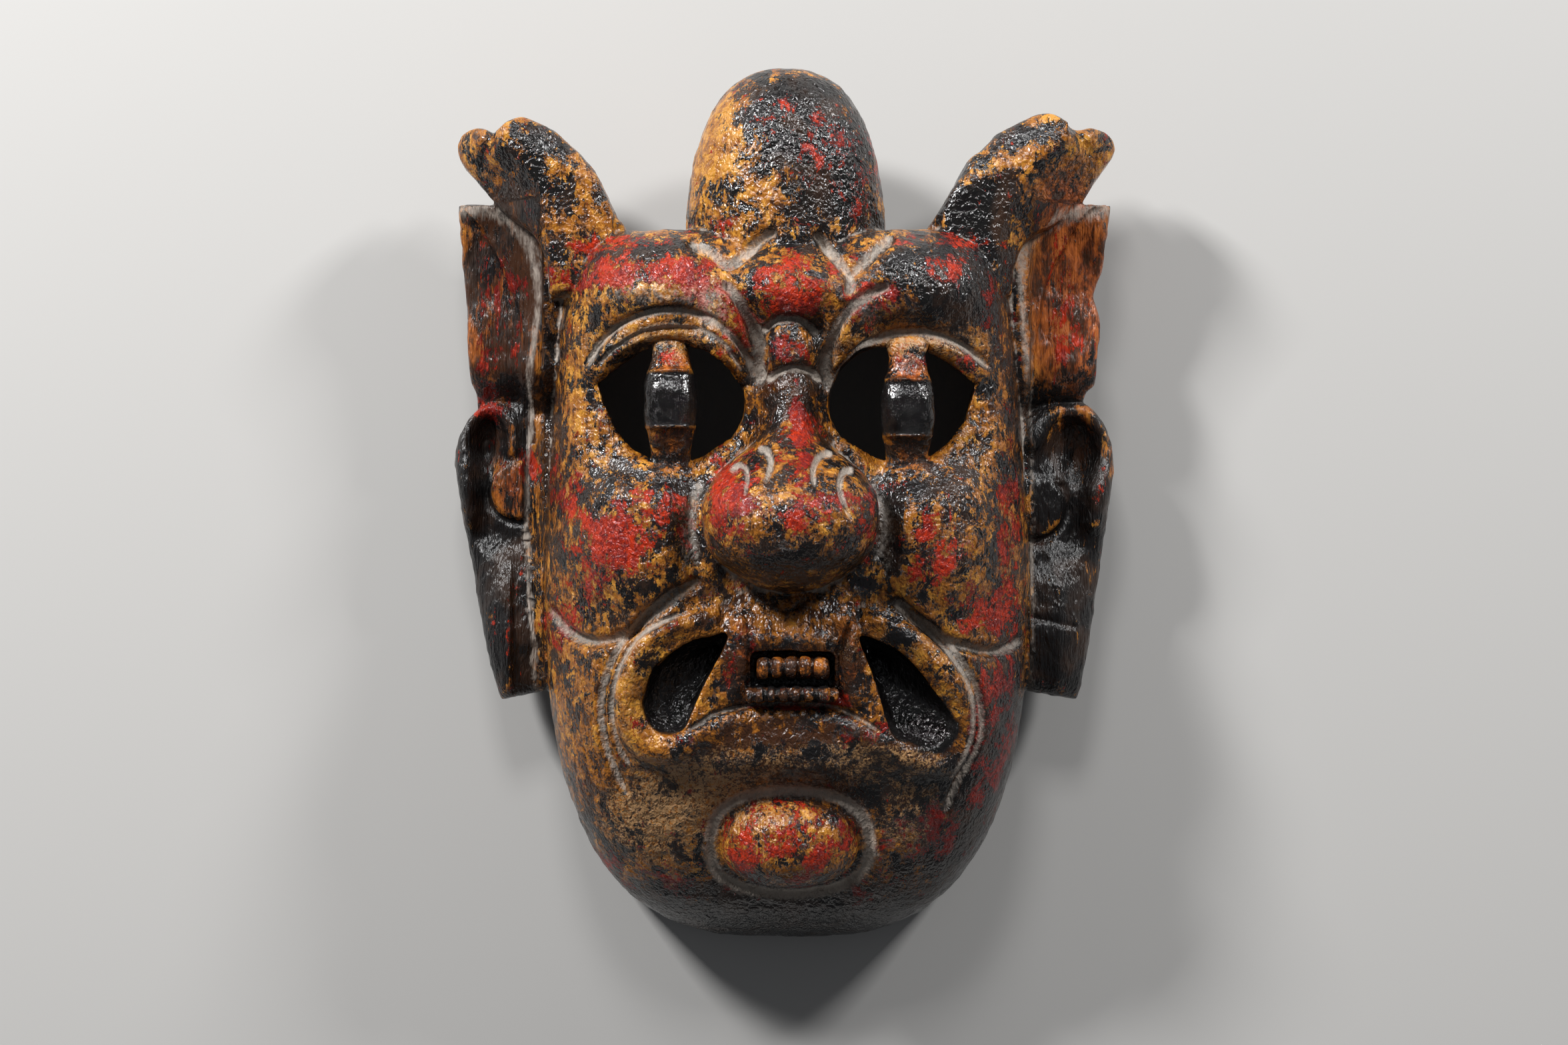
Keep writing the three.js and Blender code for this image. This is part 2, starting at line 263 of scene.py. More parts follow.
@dataclass
class Workshop:
    """Turns surfaces into closed Blender meshes, and joins, cuts and re-skins them."""

    unit: float
    middle: Point

    def closed(self, name: str, rings: Array) -> bpy.types.Object:
        """Make a closed mesh from rings of points, with a fan to the middle of each end ring.

        Args:
            name: name of the new object.
            rings: mask millimetres, shaped (rings, points in a ring, 3).

        Returns:
            The object, with its faces pointing outwards.
        """
        count, around, _ = rings.shape
        points = np.vstack([rings.reshape(-1, 3), rings[0].mean(axis=0), rings[-1].mean(axis=0)])
        ring = np.arange(count - 1)[:, None] * around
        here, there = np.arange(around)[None, :], (np.arange(around)[None, :] + 1) % around
        quads = np.stack([ring + here, ring + there, ring + around + there, ring + around + here], axis=-1)
        quads = quads.reshape(-1, 4)
        tris = np.vstack([quads[:, [0, 1, 2]], quads[:, [0, 2, 3]]])
        low, high = count * around, count * around + 1
        here, there = here[0], there[0]
        last = (count - 1) * around
        tris = np.vstack([
            tris,
            np.stack([there, here, np.full(around, low)], axis=1),
            np.stack([last + here, last + there, np.full(around, high)], axis=1),
        ])
        a, b, c = (points[tris[:, k]] for k in range(3))
        if np.einsum("ij,ij->", a, np.cross(b, c)) < 0.0:
            tris = tris[:, ::-1]
        mesh = bpy.data.meshes.new(name)
        mesh.from_pydata(self.place(points).tolist(), [], tris.tolist())
        made = bpy.data.objects.new(name, mesh)
        bpy.context.scene.collection.objects.link(made)
        return made

    def place(self, points: Array) -> Array:
        """Mask millimetres as metres in the shared frame."""
        return points * self.unit + np.array([*self.middle, 0.0])

    def measure(self, made: bpy.types.Object) -> tuple[Array, Array]:
        """Vertex positions in mask millimetres, and vertex normals."""
        count = len(made.data.vertices)
        flat, normals = np.empty(count * 3), np.empty(count * 3)
        made.data.vertices.foreach_get("co", flat)
        made.data.vertex_normals.foreach_get("vector", normals)
        return (flat.reshape(-1, 3) - np.array([*self.middle, 0.0])) / self.unit, normals.reshape(-1, 3)

    def move(self, made: bpy.types.Object, points: Array) -> None:
        """Put the vertices of a mesh at new places, in mask millimetres."""
        made.data.vertices.foreach_set("co", self.place(points).ravel())
        made.data.update()

    @staticmethod
    def bake(made: bpy.types.Object) -> None:
        """Apply an object's modifiers to its mesh."""
        graph = bpy.context.evaluated_depsgraph_get()
        fresh = bpy.data.meshes.new_from_object(made.evaluated_get(graph))
        stale, name = made.data, made.data.name
        made.modifiers.clear()
        made.data = fresh
        bpy.data.meshes.remove(stale)
        fresh.name = name

    def combine(self, stock: bpy.types.Object, tool: bpy.types.Object, operation: str) -> None:
        """Join a closed mesh to the stock, or cut it out, and throw the tool away.

        Args:
            stock: the object that is changed.
            tool: the object that is joined or cut.
            operation: UNION or DIFFERENCE.
        """
        step = stock.modifiers.new("join", "BOOLEAN")
        step.operation = operation
        step.solver = "MANIFOLD"
        step.object = tool
        self.bake(stock)
        bpy.data.meshes.remove(tool.data)

    def reskin(self, made: bpy.types.Object, cell: float, smoothings: int) -> None:
        """Cover a mesh with an even skin, and ease the seams between its parts.

        Args:
            made: the object that is changed.
            cell: size of the skin's cells, in mask millimetres.
            smoothings: how often each vertex is moved half-way to the middle of its neighbours.
        """
        skin = made.modifiers.new("skin", "REMESH")
        skin.mode = "VOXEL"
        skin.voxel_size = cell * self.unit
        ease_seams = made.modifiers.new("ease", "SMOOTH")
        ease_seams.factor = 0.5
        ease_seams.iterations = smoothings
        self.bake(made)

    def thin(self, made: bpy.types.Object, triangles: int) -> None:
        """Collapse edges where the surface is plain, until the mesh has about this many triangles."""
        count = sum(len(p.vertices) - 2 for p in made.data.polygons)
        fewer = made.modifiers.new("fewer", "DECIMATE")
        fewer.ratio = min(1.0, triangles / count)
        self.bake(made)


# --------------------------------------------------------------------------------------------- face block


@dataclass
class FaceBlock:
    """The face: a loaf of wood with a square brow and a rounded chin, swollen and grooved in front."""

    half_width: float = 112.0
    middle_y: float = -18.0
    crown_y: float = 125.5
    crown_reach: float = 147.0
    crown_power: float = 10.0
    crown_taper: float = 0.09
    crown_round: float = 12.0
    chin_reach: float = 182.0
    chin_power: float = 2.8
    chin_start: float = -60.0
    chin_roll: float = 2.2
    depth: float = 98.0
    brow_start: float = 70.0
    brow_fall: float = 14.0
    section_power: float = 4.0
    rim_wall: float = 13.0
    front_wall: float = 17.0
    front_share: float = 0.93
    columns: int = 230
    rows: int = 300
    mounds: tuple[Mound, ...] = (
        *pair(61, 103, 45, 20, 13, 1.5),
        *pair(27, 80, 10, 24, 9, 1.6, turn=8),
        *pair(51, 45, 39, 33, -12, 2.0),
        *pair(63, -13, 37, 32, 14, 2.2),
        *pair(42, -6, 8, 28, -8, 1.3),
        *pair(60, -80, 31, 33, 9, 1.7),
        Mound(1, 99, 19, 19, 15, 1.8),
        Mound(1, 70, 12.5, 10, 8, 2.0),
        Mound(1, 44, 14, 24, 10, 1.5),
        Mound(1, 20, 15, 17, 20, 1.3),
        Mound(2, -60, 36, 20, 8, 1.8),
        Mound(0, -108, 56, 15, 6, 1.5),
        Mound(1, -148, 39, 31, -6, 2.4),
    )

    def half_width_at(self, y: Array, inset: float = 0.0) -> Array:
        """Half width of the outline at height y, as two superellipses that meet at the cheeks.

        Args:
            y: upright position.
            inset: how far the outline is drawn in.

        Returns:
            The half width.
        """
        up = y > self.middle_y
        share = np.abs(y - self.middle_y) / (np.where(up, self.crown_reach, self.chin_reach) - inset)
        above = (1.0 - self.crown_taper * share) * super_arc(share, self.crown_power)
        return (self.half_width - inset) * np.where(up, above, super_arc(share, self.chin_power))

    def spine(self, y: Array, depth: float, inset: float = 0.0) -> Array:
        """Height of the plain front on the centre line: flat, rolling down to the chin, easing at the brow.

        Args:
            y: upright position.
            depth: height of the flat stretch.
            inset: how far the chin is drawn in.

        Returns:
            The height above the back rim.
        """
        length = self.chin_start - self.middle_y + self.chin_reach - inset
        roll = super_arc(np.clip((self.chin_start - y) / length, 0.0, 1.0), self.chin_roll)
        brow = np.clip((y - self.brow_start) / (self.crown_y - self.brow_start), 0.0, 1.0)
        return depth * roll - self.brow_fall * brow**2

    def relief(self, x: Array, y: Array) -> Array:
        """Height that the carving adds to the plain front: the sum of its mounds, rounded at the crown."""
        rise = sum(m.height(x, y) for m in self.mounds)
        over = np.clip((y - self.crown_y + self.crown_round) / self.crown_round, 0.0, 1.0)
        return rise - self.crown_round * (1.0 - np.sqrt(1.0 - over**2))

    def front(self, x: Array, y: Array) -> Array:
        """Height of the carved front at a place."""
        arch = super_arc(x / np.maximum(self.half_width_at(y), 1.0), self.section_power)
        return arch * self.spine(y, self.depth) + self.relief(x, y) * arch**2

    def in_hollow(self, points: Array, slack: float) -> Array:
        """Whether each point lies in the hollow or within slack of its wall."""
        x, y, z = points.T
        inset = self.rim_wall - slack
        half = self.half_width_at(y, inset)
        arch = super_arc(x / np.maximum(half, 1.0), self.section_power)
        roof = arch * self.spine(y, self.depth - self.front_wall + slack, inset)
        return (half > 1.0) & (np.abs(x) < half) & (z < roof)

    def rings(self, inset: float, depth: float, columns: int, rows: int, high_y: float, carved: bool) -> Array:
        """Level rows of the loaf, each over the arch from side to side and back along the base.

        The arch is (share * half width, spine * (1 - |share| ** 4) ** (1 / 4)). Its columns are even over
        the front, and even in height down each side wall.

        Args:
            inset: how far the outline is drawn in.
            depth: height of the flat stretch.
            columns: points over the arch.
            rows: stretches from chin to crown.
            high_y: where the loaf ends.
            carved: whether the front carries its mounds.

        Returns:
            The rings, shaped (rows, points, 3).
        """
        low_y = self.middle_y - self.chin_reach + inset
        y = (low_y + (high_y - low_y) * gathered(rows))[1:-1, None]
        across = np.linspace(1.0, -1.0, columns)
        front_columns = 0.74
        wall = super_arc(np.array(self.front_share), self.section_power)
        down = wall * (1.0 - np.abs(across)) / (1.0 - front_columns)
        share = np.where(
            np.abs(across) <= front_columns,
            across / front_columns * self.front_share,
            np.sign(across) * super_arc(np.clip(down, 0.0, 1.0), self.section_power),
        )[None, :]
        half = self.half_width_at(y, inset)
        arch = super_arc(share, self.section_power)
        x = share * half
        z = arch * self.spine(y, depth, inset)
        if carved:
            z = z + self.relief(x, y) * arch**2
        base = np.linspace(-1.0, 1.0, columns // 8 + 2)[None, 1:-1] * half
        x = np.hstack([x, base])
        z = np.hstack([np.maximum(z, 0.0), np.zeros(base.shape)])
        return np.stack([x, np.broadcast_to(y, x.shape), z], axis=-1)

    def block(self, shop: Workshop) -> bpy.types.Object:
        """The face block, not yet hollowed."""
        rings = self.rings(0.0, self.depth, self.columns, self.rows, self.crown_y + 0.05, True)
        return shop.closed("face_block", rings)

    def hollow(self, shop: Workshop) -> bpy.types.Object:
        """The stuff cut out from behind, run a little past the back."""
        high_y = self.middle_y + self.crown_reach - self.rim_wall
        rings = self.rings(self.rim_wall, self.depth - self.front_wall, 90, 110, high_y, False)
        rings[..., 2] = np.where(rings[..., 2] <= 0.0, -4.0, rings[..., 2])
        return shop.closed("hollow", rings)


# ------------------------------------------------------------------------------------------ round swellings


@dataclass
class Ball:
    """An egg: an ellipsoid whose upper half may be longer than its lower half."""

    x: float
    y: float
    z: float
    wide: float
    above: float
    below: float
    deep: float
    power: float = 2.0

    def build(self, shop: Workshop, name: str) -> bpy.types.Object:
        """Rings round the upright axis: radius (1 - |t| ** power) ** (1 / power) at height t.

        Args:
            shop: the workshop that makes the mesh.
            name: name of the new object.

        Returns:
            The closed egg.
        """
        t = -np.cos(np.pi * np.arange(1, 90) / 90)[:, None]
        angle = 2.0 * np.pi * np.arange(150)[None, :] / 150
        radius = super_arc(t, self.power)
        x = self.x + self.wide * radius * np.cos(angle)
        y = self.y + np.where(t > 0.0, self.above, self.below) * t + 0.0 * angle
        z = self.z + self.deep * radius * np.sin(angle)
        return shop.closed(name, np.stack([x, y, z], axis=-1))


@dataclass
class Nose:
    """The nose: a bridge between the eyes that widens into a bulb, overhanging the lip.

    Each row gives an upright position, a half width and a front height.
    """

    rows: tuple[tuple[float, float, float], ...] = (
        (66, 9, 104), (55, 12, 108), (44, 12.5, 111), (34, 14, 117), (27, 19, 124), (21, 26, 131), (14, 33, 139),
        (5, 38, 146.5), (-4, 39, 150), (-13, 37.5, 149), (-21, 33.5, 144.5), (-29, 24, 134), (-34.5, 14, 122),
    )
    x: float = 1.6
    foot: float = 107.0
    back_z: float = 70.0
    root_z: float = 88.0
    bulb_z: float = 110.0

    def build(self, shop: Workshop) -> bpy.types.Object:
        """Oval sections down the nose: the front half is squared by 2.2, the back half is sunk in the face."""
        line = smooth_line(self.rows, 8)
        line = np.vstack([line, [-37.4, 0.5, self.foot]])
        y, half, front = (line[:, k, None] for k in range(3))
        centre = self.root_z + (self.bulb_z - self.root_z) * (1.0 - ease(5.0, 34.0, y))
        centre = np.minimum(centre, front - 6.0)
        angle = 2.0 * np.pi * np.arange(140)[None, :] / 140
        up = np.sin(angle)
        x = self.x + half * squared(np.cos(angle), 2.2)
        below = (centre - self.back_z) * np.clip(half / 20.0, 0.0, 1.0)
        z = centre + np.where(up > 0.0, (front - centre) * squared(up, 2.2), below * up)
        return shop.closed("nose", np.stack([x, y + 0.0 * x, z], axis=-1))


@dataclass
class TopKnot:
    """The knot of hair behind the brow: a tall dome with square shoulders, flattened from front to back."""

    base_y: float = 112.0
    top_y: float = 200.0
    z: float = 54.0
    wide: float = 45.5
    deep: float = 41.0
    power: float = 2.5

    def build(self, shop: Workshop) -> bpy.types.Object:
        """Rings round the upright axis, whose radius follows a superellipse from base to top."""
        share = np.sin(0.5 * np.pi * np.arange(100) / 100)[:, None]
        angle = 2.0 * np.pi * np.arange(180)[None, :] / 180
        radius = super_arc(share, self.power)
        x = self.wide * radius * np.cos(angle) - 0.5
        y = self.base_y + (self.top_y - self.base_y) * share + 0.0 * angle
        z = self.z + self.deep * radius * np.sin(angle)
        return shop.closed("top_knot", np.stack([x, y, z], axis=-1))


# -------------------------------------------------------------------------------- horns, crest flaps and ears


@dataclass
class Plate:
    """A plate with a plain back and a carved front, on one side of the face.

    outline takes shares outwards and upwards and gives (x, y); front takes x and y and gives the height.
    """

    side: int
    back_z: float
    edge_power: float
    outline: Callable[[Array, Array], tuple[Array, Array]]
    front: Callable[[Array, Array], Array]
    across: int = 60
    rows: int = 130

    def build(self, shop: Workshop, name: str) -> bpy.types.Object:
        """Rings that run out over the front and back along the back, thinned to nothing at all edges.

        The height is the middle height + edge * half the thickness, where edge is the product of two
        superellipses, one over the width and one over the height.
        """
        out = np.concatenate([gathered(self.across), gathered(self.across)[-2:0:-1]])[None, :]
        is_back = (np.arange(out.shape[1]) > self.across)[None, :]
        up = gathered(self.rows)[1:-1, None]
        x, y = self.outline(out, up)
        edge = super_arc(2.0 * out - 1.0, self.edge_power) * super_arc(2.0 * up - 1.0, self.edge_power)
        front = self.front(x, y)
        middle = (front + self.back_z) / 2.0
        z = middle + edge * (np.where(is_back, self.back_z, front) - middle)
        return shop.closed(name, np.stack([self.side * x, y + 0.0 * x, z], axis=-1))


def beyond(x: Array, y: Array, line: Array) -> Array:
    """Distance to a line that climbs, positive on its outer side and negative on its inner side."""
    away = near_line(x, y, line)[0]
    return np.where(x > np.interp(y, line[:, 1], line[:, 0]), away, -away)


@dataclass
class Horn:
    """A thick horn that leans outwards: a flat front, a side that slopes back, and two lobes at its end."""

    side: int
    inner: tuple[Point, ...]
    outer: tuple[Point, ...]
    arris: tuple[Point, ...]
    brow: tuple[Point, ...]
    lobe: tuple[Point, ...]
    front_z: float = 73.0
    side_slope: float = 0.95
    back_z: float = 34.0

    def outline(self, out: Array, up: Array) -> tuple[Array, Array]:
        """Places between the inner edge and the outer edge, both cut evenly from root to tip."""
        count = 200
        inner, outer = (even_line(smooth_line(edge, 10), count) for edge in (self.inner, self.outer))
        at = np.linspace(0.0, 1.0, count)
        a = [np.interp(up, at, inner[:, k]) for k in range(2)]
        b = [np.interp(up, at, outer[:, k]) for k in range(2)]
        return a[0] + (b[0] - a[0]) * out, a[1] + (b[1] - a[1]) * out

    def front(self, x: Array, y: Array) -> Array:
        """A flat front; past the arris it falls off sideways, past the top line it leans back a little."""
        side = np.maximum(beyond(x, y, smooth_line(self.arris, 8)), 0.0)
        top = np.maximum(-beyond(x, y, smooth_line(self.brow, 8)), 0.0)
        crease, share = near_line(x, y, smooth_line(self.lobe, 8))
        height = self.front_z - self.side_slope * side - 0.42 * top - 0.12 * np.maximum(x - 120.0, 0.0)
        return np.maximum(height - 5.0 * (1.0 - 0.6 * share) * np.exp(-((crease / 2.8) ** 2)), self.back_z + 7.0)

    def build(self, shop: Workshop) -> bpy.types.Object:
        """The horn as a closed plate."""
        return Plate(self.side, self.back_z, 9.0, self.outline, self.front, 80, 150).build(shop, "horn")


HORNS: tuple[Horn, Horn] = (
    Horn(
        -1,
        inner=(
            (70, 100), (71, 115), (73, 127), (76.4, 131.3), (80.7, 139.9), (85, 149.7), (90.5, 157.3), (98, 164.9),
            (107.8, 172.5), (118.7, 177), (125.2, 175.4), (130.2, 171.6), (133, 170.8), (137, 172.7), (143.6, 173),
            (148.2, 170),
        ),
        outer=(
            (107, 96), (108.5, 110), (113.5, 123), (124, 131), (130.6, 136.7), (134.9, 142.1), (140.3, 148.6),
            (146.8, 155.5), (149.8, 162), (149.8, 166),
        ),
        arris=((107, 100), (108.4, 121.5), (110, 137.8), (112.2, 146.4), (120.8, 158.4), (131, 166)),
        brow=((78, 140), (92, 150), (108, 158), (122, 166), (129, 171)),
        lobe=((131.5, 173), (133.5, 166), (138, 158)),
    ),
    Horn(
        1,
        inner=(
            (58, 100), (59, 114), (62.3, 125.3), (68.8, 134.5), (76.4, 147.5), (82.9, 158.4), (88.3, 162.7),
            (94.8, 169.2), (102.4, 173.7), (110, 177.4), (117.6, 179), (124.1, 176.8), (129.5, 172.5),
            (132.8, 171.7), (138.2, 173.2), (144.7, 171.9), (149.2, 168.6),
        ),
        outer=(
            (102, 96), (103.5, 110), (109.5, 122), (122, 129.5), (132.8, 136.7), (137.1, 143.2), (142.5, 151.9),
            (147.9, 159.5), (150.3, 164.6),
        ),
        arris=((93, 100), (94.8, 119.3), (98.1, 131.3), (102.4, 139.9), (107.8, 149.7), (114.3, 157.3), (127, 167)),
        brow=((70, 143), (94.8, 152.9), (105.7, 157.3), (116.5, 163.8), (126, 169.5)),
        lobe=((130.5, 173), (134, 166), (138.5, 160)),
    ),
)


@dataclass
class CrestFlap:
    """The upright flap behind the temple: a roll beside the face, a hollow band, and a sunken outer panel."""

    side: int
    crest: tuple[Point, ...]
    ridge: tuple[Point, ...]
    outer: tuple[Point, ...]
    low_y: float = 33.0
    inner_high_y: float = 112.0
    outer_high_y: float = 139.5
    inner_x: float = 98.0
    back_z: float = 16.0
    crest_z: float = 50.0

    def outline(self, out: Array, up: Array) -> tuple[Array, Array]:
        """From the face to the chipped outer edge, under a top that rises as 1 - (1 - share) ** 5."""
        edge = smooth_line(self.outer, 6)
        outer = np.interp(self.low_y + (self.outer_high_y - self.low_y) * up, edge[:, 1], edge[:, 0])
        top = self.inner_high_y + (self.outer_high_y - self.inner_high_y) * (1.0 - (1.0 - out) ** 5)
        return self.inner_x + (outer - self.inner_x) * out, self.low_y + (top - self.low_y) * up

    def front(self, x: Array, y: Array) -> Array:
        """The roll falls towards the face, the band falls outwards, and the panel lies below its sharp edge.

        All of it dives at its lower end, where the ear stands before it.
        """
        crest = beyond(x, y, smooth_line(self.crest, 8))
        ridge = beyond(x, y, smooth_line(self.ridge, 8))
        width = np.maximum(crest - ridge, 0.5)
        share = np.clip(crest / width, 0.0, 1.0)
        fall = np.minimum(0.42 * width, 5.0)
        band = self.crest_z - fall * share - 0.32 * fall * np.sin(np.pi * share)
        roll = self.crest_z - 0.055 * np.minimum(crest, 0.0) ** 2
        panel = self.crest_z - fall - 3.6 * ease(0.0, 1.4, ridge) + 0.05 * np.maximum(ridge, 0.0)
        height = np.where(crest < 0.0, roll, np.where(ridge > 0.0, panel, band))
        return np.maximum(height - 17.0 * (1.0 - ease(38.0, 66.0, y)), 22.0)

    def build(self, shop: Workshop) -> bpy.types.Object:
        """The flap as a closed plate."""
        return Plate(self.side, self.back_z, 9.0, self.outline, self.front, 90, 150).build(shop, "crest_flap")


FLAPS: tuple[CrestFlap, CrestFlap] = (
    CrestFlap(
        -1,
        crest=((116.6, 30), (116.6, 48.7), (115.5, 69.8), (113.2, 85.2), (112.1, 98.5), (113.2, 111.8),
               (115.5, 121.7), (121, 129.5), (128.7, 135.6), (137.6, 138.8), (150, 139.3)),
        ridge=((120.5, 30), (121, 59.8), (120.4, 76.4), (121, 87.5), (123.2, 96.3), (127.6, 107.4), (133.2, 118.4),
               (139.5, 129), (147, 137)),
        outer=((142, 30), (143.1, 51), (145.3, 59.8), (146.4, 76.4), (147, 93), (148.6, 109.6), (149.6, 125.1),
               (151, 140)),
    ),
    CrestFlap(
        1,
        crest=((109.6, 30), (109.4, 54.3), (107.7, 76.4), (106.6, 93), (105.5, 107.4), (106.6, 118.4), (110, 126.2),
               (115.5, 131.7), (123.2, 135), (132.1, 137.4), (147, 139.3)),
        ridge=((110.6, 30), (112.2, 59.8), (113.8, 76.4), (114.9, 87.5), (116.6, 96.3), (118.8, 105.2),
               (122.1, 112.9), (127.6, 121.7), (134.3, 132.8), (140, 138.5)),
        outer=((135, 30), (137, 51), (141.5, 57.5), (142.5, 70.9), (144, 86), (140.8, 97), (142, 101), (144.3, 108),
               (146.6, 122.9), (149, 140)),
    ),
)


@dataclass
class Ear:
    """The long ear: an arched top with a rolled rim round a bowl, a lid before it, and a heavy lobe."""

    side: int
    rim: tuple[Point, ...]
    dips: tuple[Mound, ...]
    ridge_x: float
    low_x: float
    outer_x: float
    crease_y: float
    step: float
    tragus: tuple[float, float, float]
    tragus_from: float = 0.0
    low_y: float = -88.0
    high_y: float = 50.0
    arch_from: float = 0.78
    arch_x: float = 132.0
    inner_x: float = 98.0
    back_z: float = 14.0
    front_z: float = 39.0

    def outline(self, out: Array, up: Array) -> tuple[Array, Array]:
        """A tapering lobe under a half-ellipse arch."""
        arch = super_arc(np.maximum(0.0, up - self.arch_from) / (1.0 - self.arch_from), 2.0)
        inner = self.arch_x + (self.inner_x - self.arch_x) * arch
        taper = np.clip(up / self.arch_from, 0.0, 1.0) ** 0.8
        outer = self.arch_x + (self.low_x + (self.outer_x - self.low_x) * taper - self.arch_x) * arch
        foot = 7.0 * (1.0 - out) * (1.0 - up) ** 3
        return inner + (outer - inner) * out, self.low_y + (self.high_y - self.low_y) * up + foot

    def front(self, x: Array, y: Array) -> Array:
        """The rim as a ridge along its curve, bowl and channel as mounds, the lid as a flat disc in a ring.

        The lobe is a roof: it falls off outwards from its ridge, and inwards past a step.
        """
        rim = near_line(x, y, smooth_line(self.rim, 8))[0]
        height = self.front_z + 4.0 * np.exp(-((rim / 4.6) ** 3)) + sum(m.height(x, y) for m in self.dips)
        middle_x, middle_y, radius = self.tragus
        from_lid = np.hypot(x - middle_x, y - middle_y) - radius
        lid = (1.0 - ease(-1.6, 0.6, from_lid)) * ease(-0.6, 0.6, x - self.tragus_from)
        height = height * (1.0 - lid) + lid * (self.front_z + 3.0 - 1.6 * ((from_lid + radius) / radius) ** 2)
        ring = np.exp(-(((from_lid - 1.4) / 1.5) ** 2)) * (y < middle_y + 0.7 * radius) * (x > self.tragus_from)
        height = height - 2.4 * ring
        lobe = 1.0 - ease(-40.0, -10.0, y)
        out = x - self.ridge_x
        slope = np.where(out > 0.0, np.sqrt(out**2 + 9.0) * 0.55 - 1.65, -0.12 * out + self.step * ease(0.2, 1.8, -out))
        crease = 1.5 * np.exp(-(((y - self.crease_y + 0.2 * (x - 124.0)) / 1.3) ** 2)) * (x < 132.0)
        lift = 4.0 + 0.13 * np.clip(-14.0 - y, 0.0, 45.0)
        return height + lobe * (lift - slope - crease) - 0.14 * np.maximum(-56.0 - y, 0.0)

    def build(self, shop: Workshop) -> bpy.types.Object:
        """The ear as a closed plate."""
        return Plate(self.side, self.back_z, 5.0, self.outline, self.front, 80, 180).build(shop, "ear")


EARS: tuple[Ear, Ear] = (
    Ear(
        -1,
        rim=((127.3, 28), (127.8, 34), (129.5, 40), (134, 45), (140, 45), (145.5, 39.5), (148, 31), (148.3, 18),
             (147.2, 4), (146, -6)),
        dips=(
            Mound(136.8, 32, 9, 12, -9, 1.8), Mound(139, 12, 4.5, 24, -6, 1.6, 3), Mound(117.0, 34, 5, 22, -2, 2.0),
            Mound(135, -12, 14, 7, -2.5, 1.3), Mound(147, 8, 6, 13, 2.0),
        ),
        ridge_x=126.6,
        low_x=131.5,
        outer_x=153.0,
        crease_y=-200.0,
        step=2.6,
        tragus=(122.5, 9.0, 14.0),
        tragus_from=121.0,
    ),
    Ear(
        1,
        rim=((113.5, 31), (117, 38), (123, 43.2), (131, 45), (138.5, 43), (143.6, 37.5), (146, 29), (146, 17),
             (144.2, 5), (142.5, -6)),
        dips=(
            Mound(133.2, 28, 11.5, 14, -9, 1.6), Mound(133, 6, 5.5, 22, -5, 1.6, -3),
            Mound(127, -13, 14, 7, -2.5, 1.3, -14), Mound(143.5, 5, 7, 12, 2.4),
        ),
        ridge_x=124.0,
        low_x=134.0,
        outer_x=150.9,
        crease_y=-52.0,
        step=0.0,
        tragus=(113.5, 1.5, 14.6),
    ),
)


# --------------------------------------------------------------------------------------------- eyes and mouth


@dataclass
class Eye:
    """An oval hole drawn out to a point at its outer corner, and the bar left standing in it."""

    side: int
    bar_x: float
    pupil_y: float
    x: float = 50.0
    y: float = 47.0
    wide: float = 31.5
    tall: float = 27.0
    corner: Point = (85.5, 57.0)
    corner_spread: float = 0.58
    bar_half: float = 34.0
    bar_thick: float = 12.0
    bar_bow: float = 15.0
    bar_front: float = 88.0

    def outline(self, count: int) -> Array:
        """The hole's edge: an ellipse, left by its two tangents to the corner."""
        towards = math.atan2(self.corner[1] - self.y, self.corner[0] - self.x)
        angle = towards + np.linspace(self.corner_spread, 2.0 * np.pi - self.corner_spread, count)
        arc = np.stack([self.x + self.wide * np.cos(angle), self.y + self.tall * np.sin(angle)], axis=1)
        return np.vstack([self.corner, arc]) * np.array([self.side, 1.0])

    def hole(self, shop: Workshop) -> bpy.types.Object:
        """The cutter: the edge's outline at three heights, flaring a little towards the front."""
        edge = even_line(np.vstack([self.outline(80), self.outline(80)[:1]]), 160)[:-1]
        middle = np.array([self.side * self.x, self.y])
        rings = [
            np.column_stack([middle + (edge - middle) * grow, np.full(len(edge), z)])
            for z, grow in ((40.0, 0.99), (84.0, 0.985), (96.0, 1.02), (140.0, 1.1))
        ]
        return shop.closed("eye_hole", np.array(rings))

    def bar(self, shop: Workshop) -> bpy.types.Object:
        """The bar: rounded sections that bow forwards, broadest and raised at the pupil."""
        t = np.linspace(-1.0, 1.0, 120)[1:-1, None]
        y = self.y + t * self.bar_half
        away = np.abs(y - self.pupil_y)
        pupil = (1.0 - ease(12.4, 13.6, away)) * (1.0 - (away / 14.5) ** 2) + 0.45 * np.exp(-(((away - 12.4) / 1.0) ** 2))
        swell = mound((y - self.pupil_y) / 17.0, 0.0, 1.6)
        half = (7.4 + 3.9 * swell + 1.4 * ease(0.1, -0.8, t)) * super_arc(t, 14.0)
        thick = self.bar_thick / 2.0
        middle = self.bar_front + self.bar_bow * (1.0 - t**2) - thick
        angle = 2.0 * np.pi * np.arange(48)[None, :] / 48
        x = self.bar_x + (half + 0.5 * pupil) * squared(np.cos(angle), 2.9)
        z = middle + (thick + 4.2 * pupil * (np.sin(angle) > 0.0)) * squared(np.sin(angle), 2.5) * super_arc(t, 14.0)
        return shop.closed("eye_bar", np.stack([x, y + 0.0 * x, z], axis=-1))


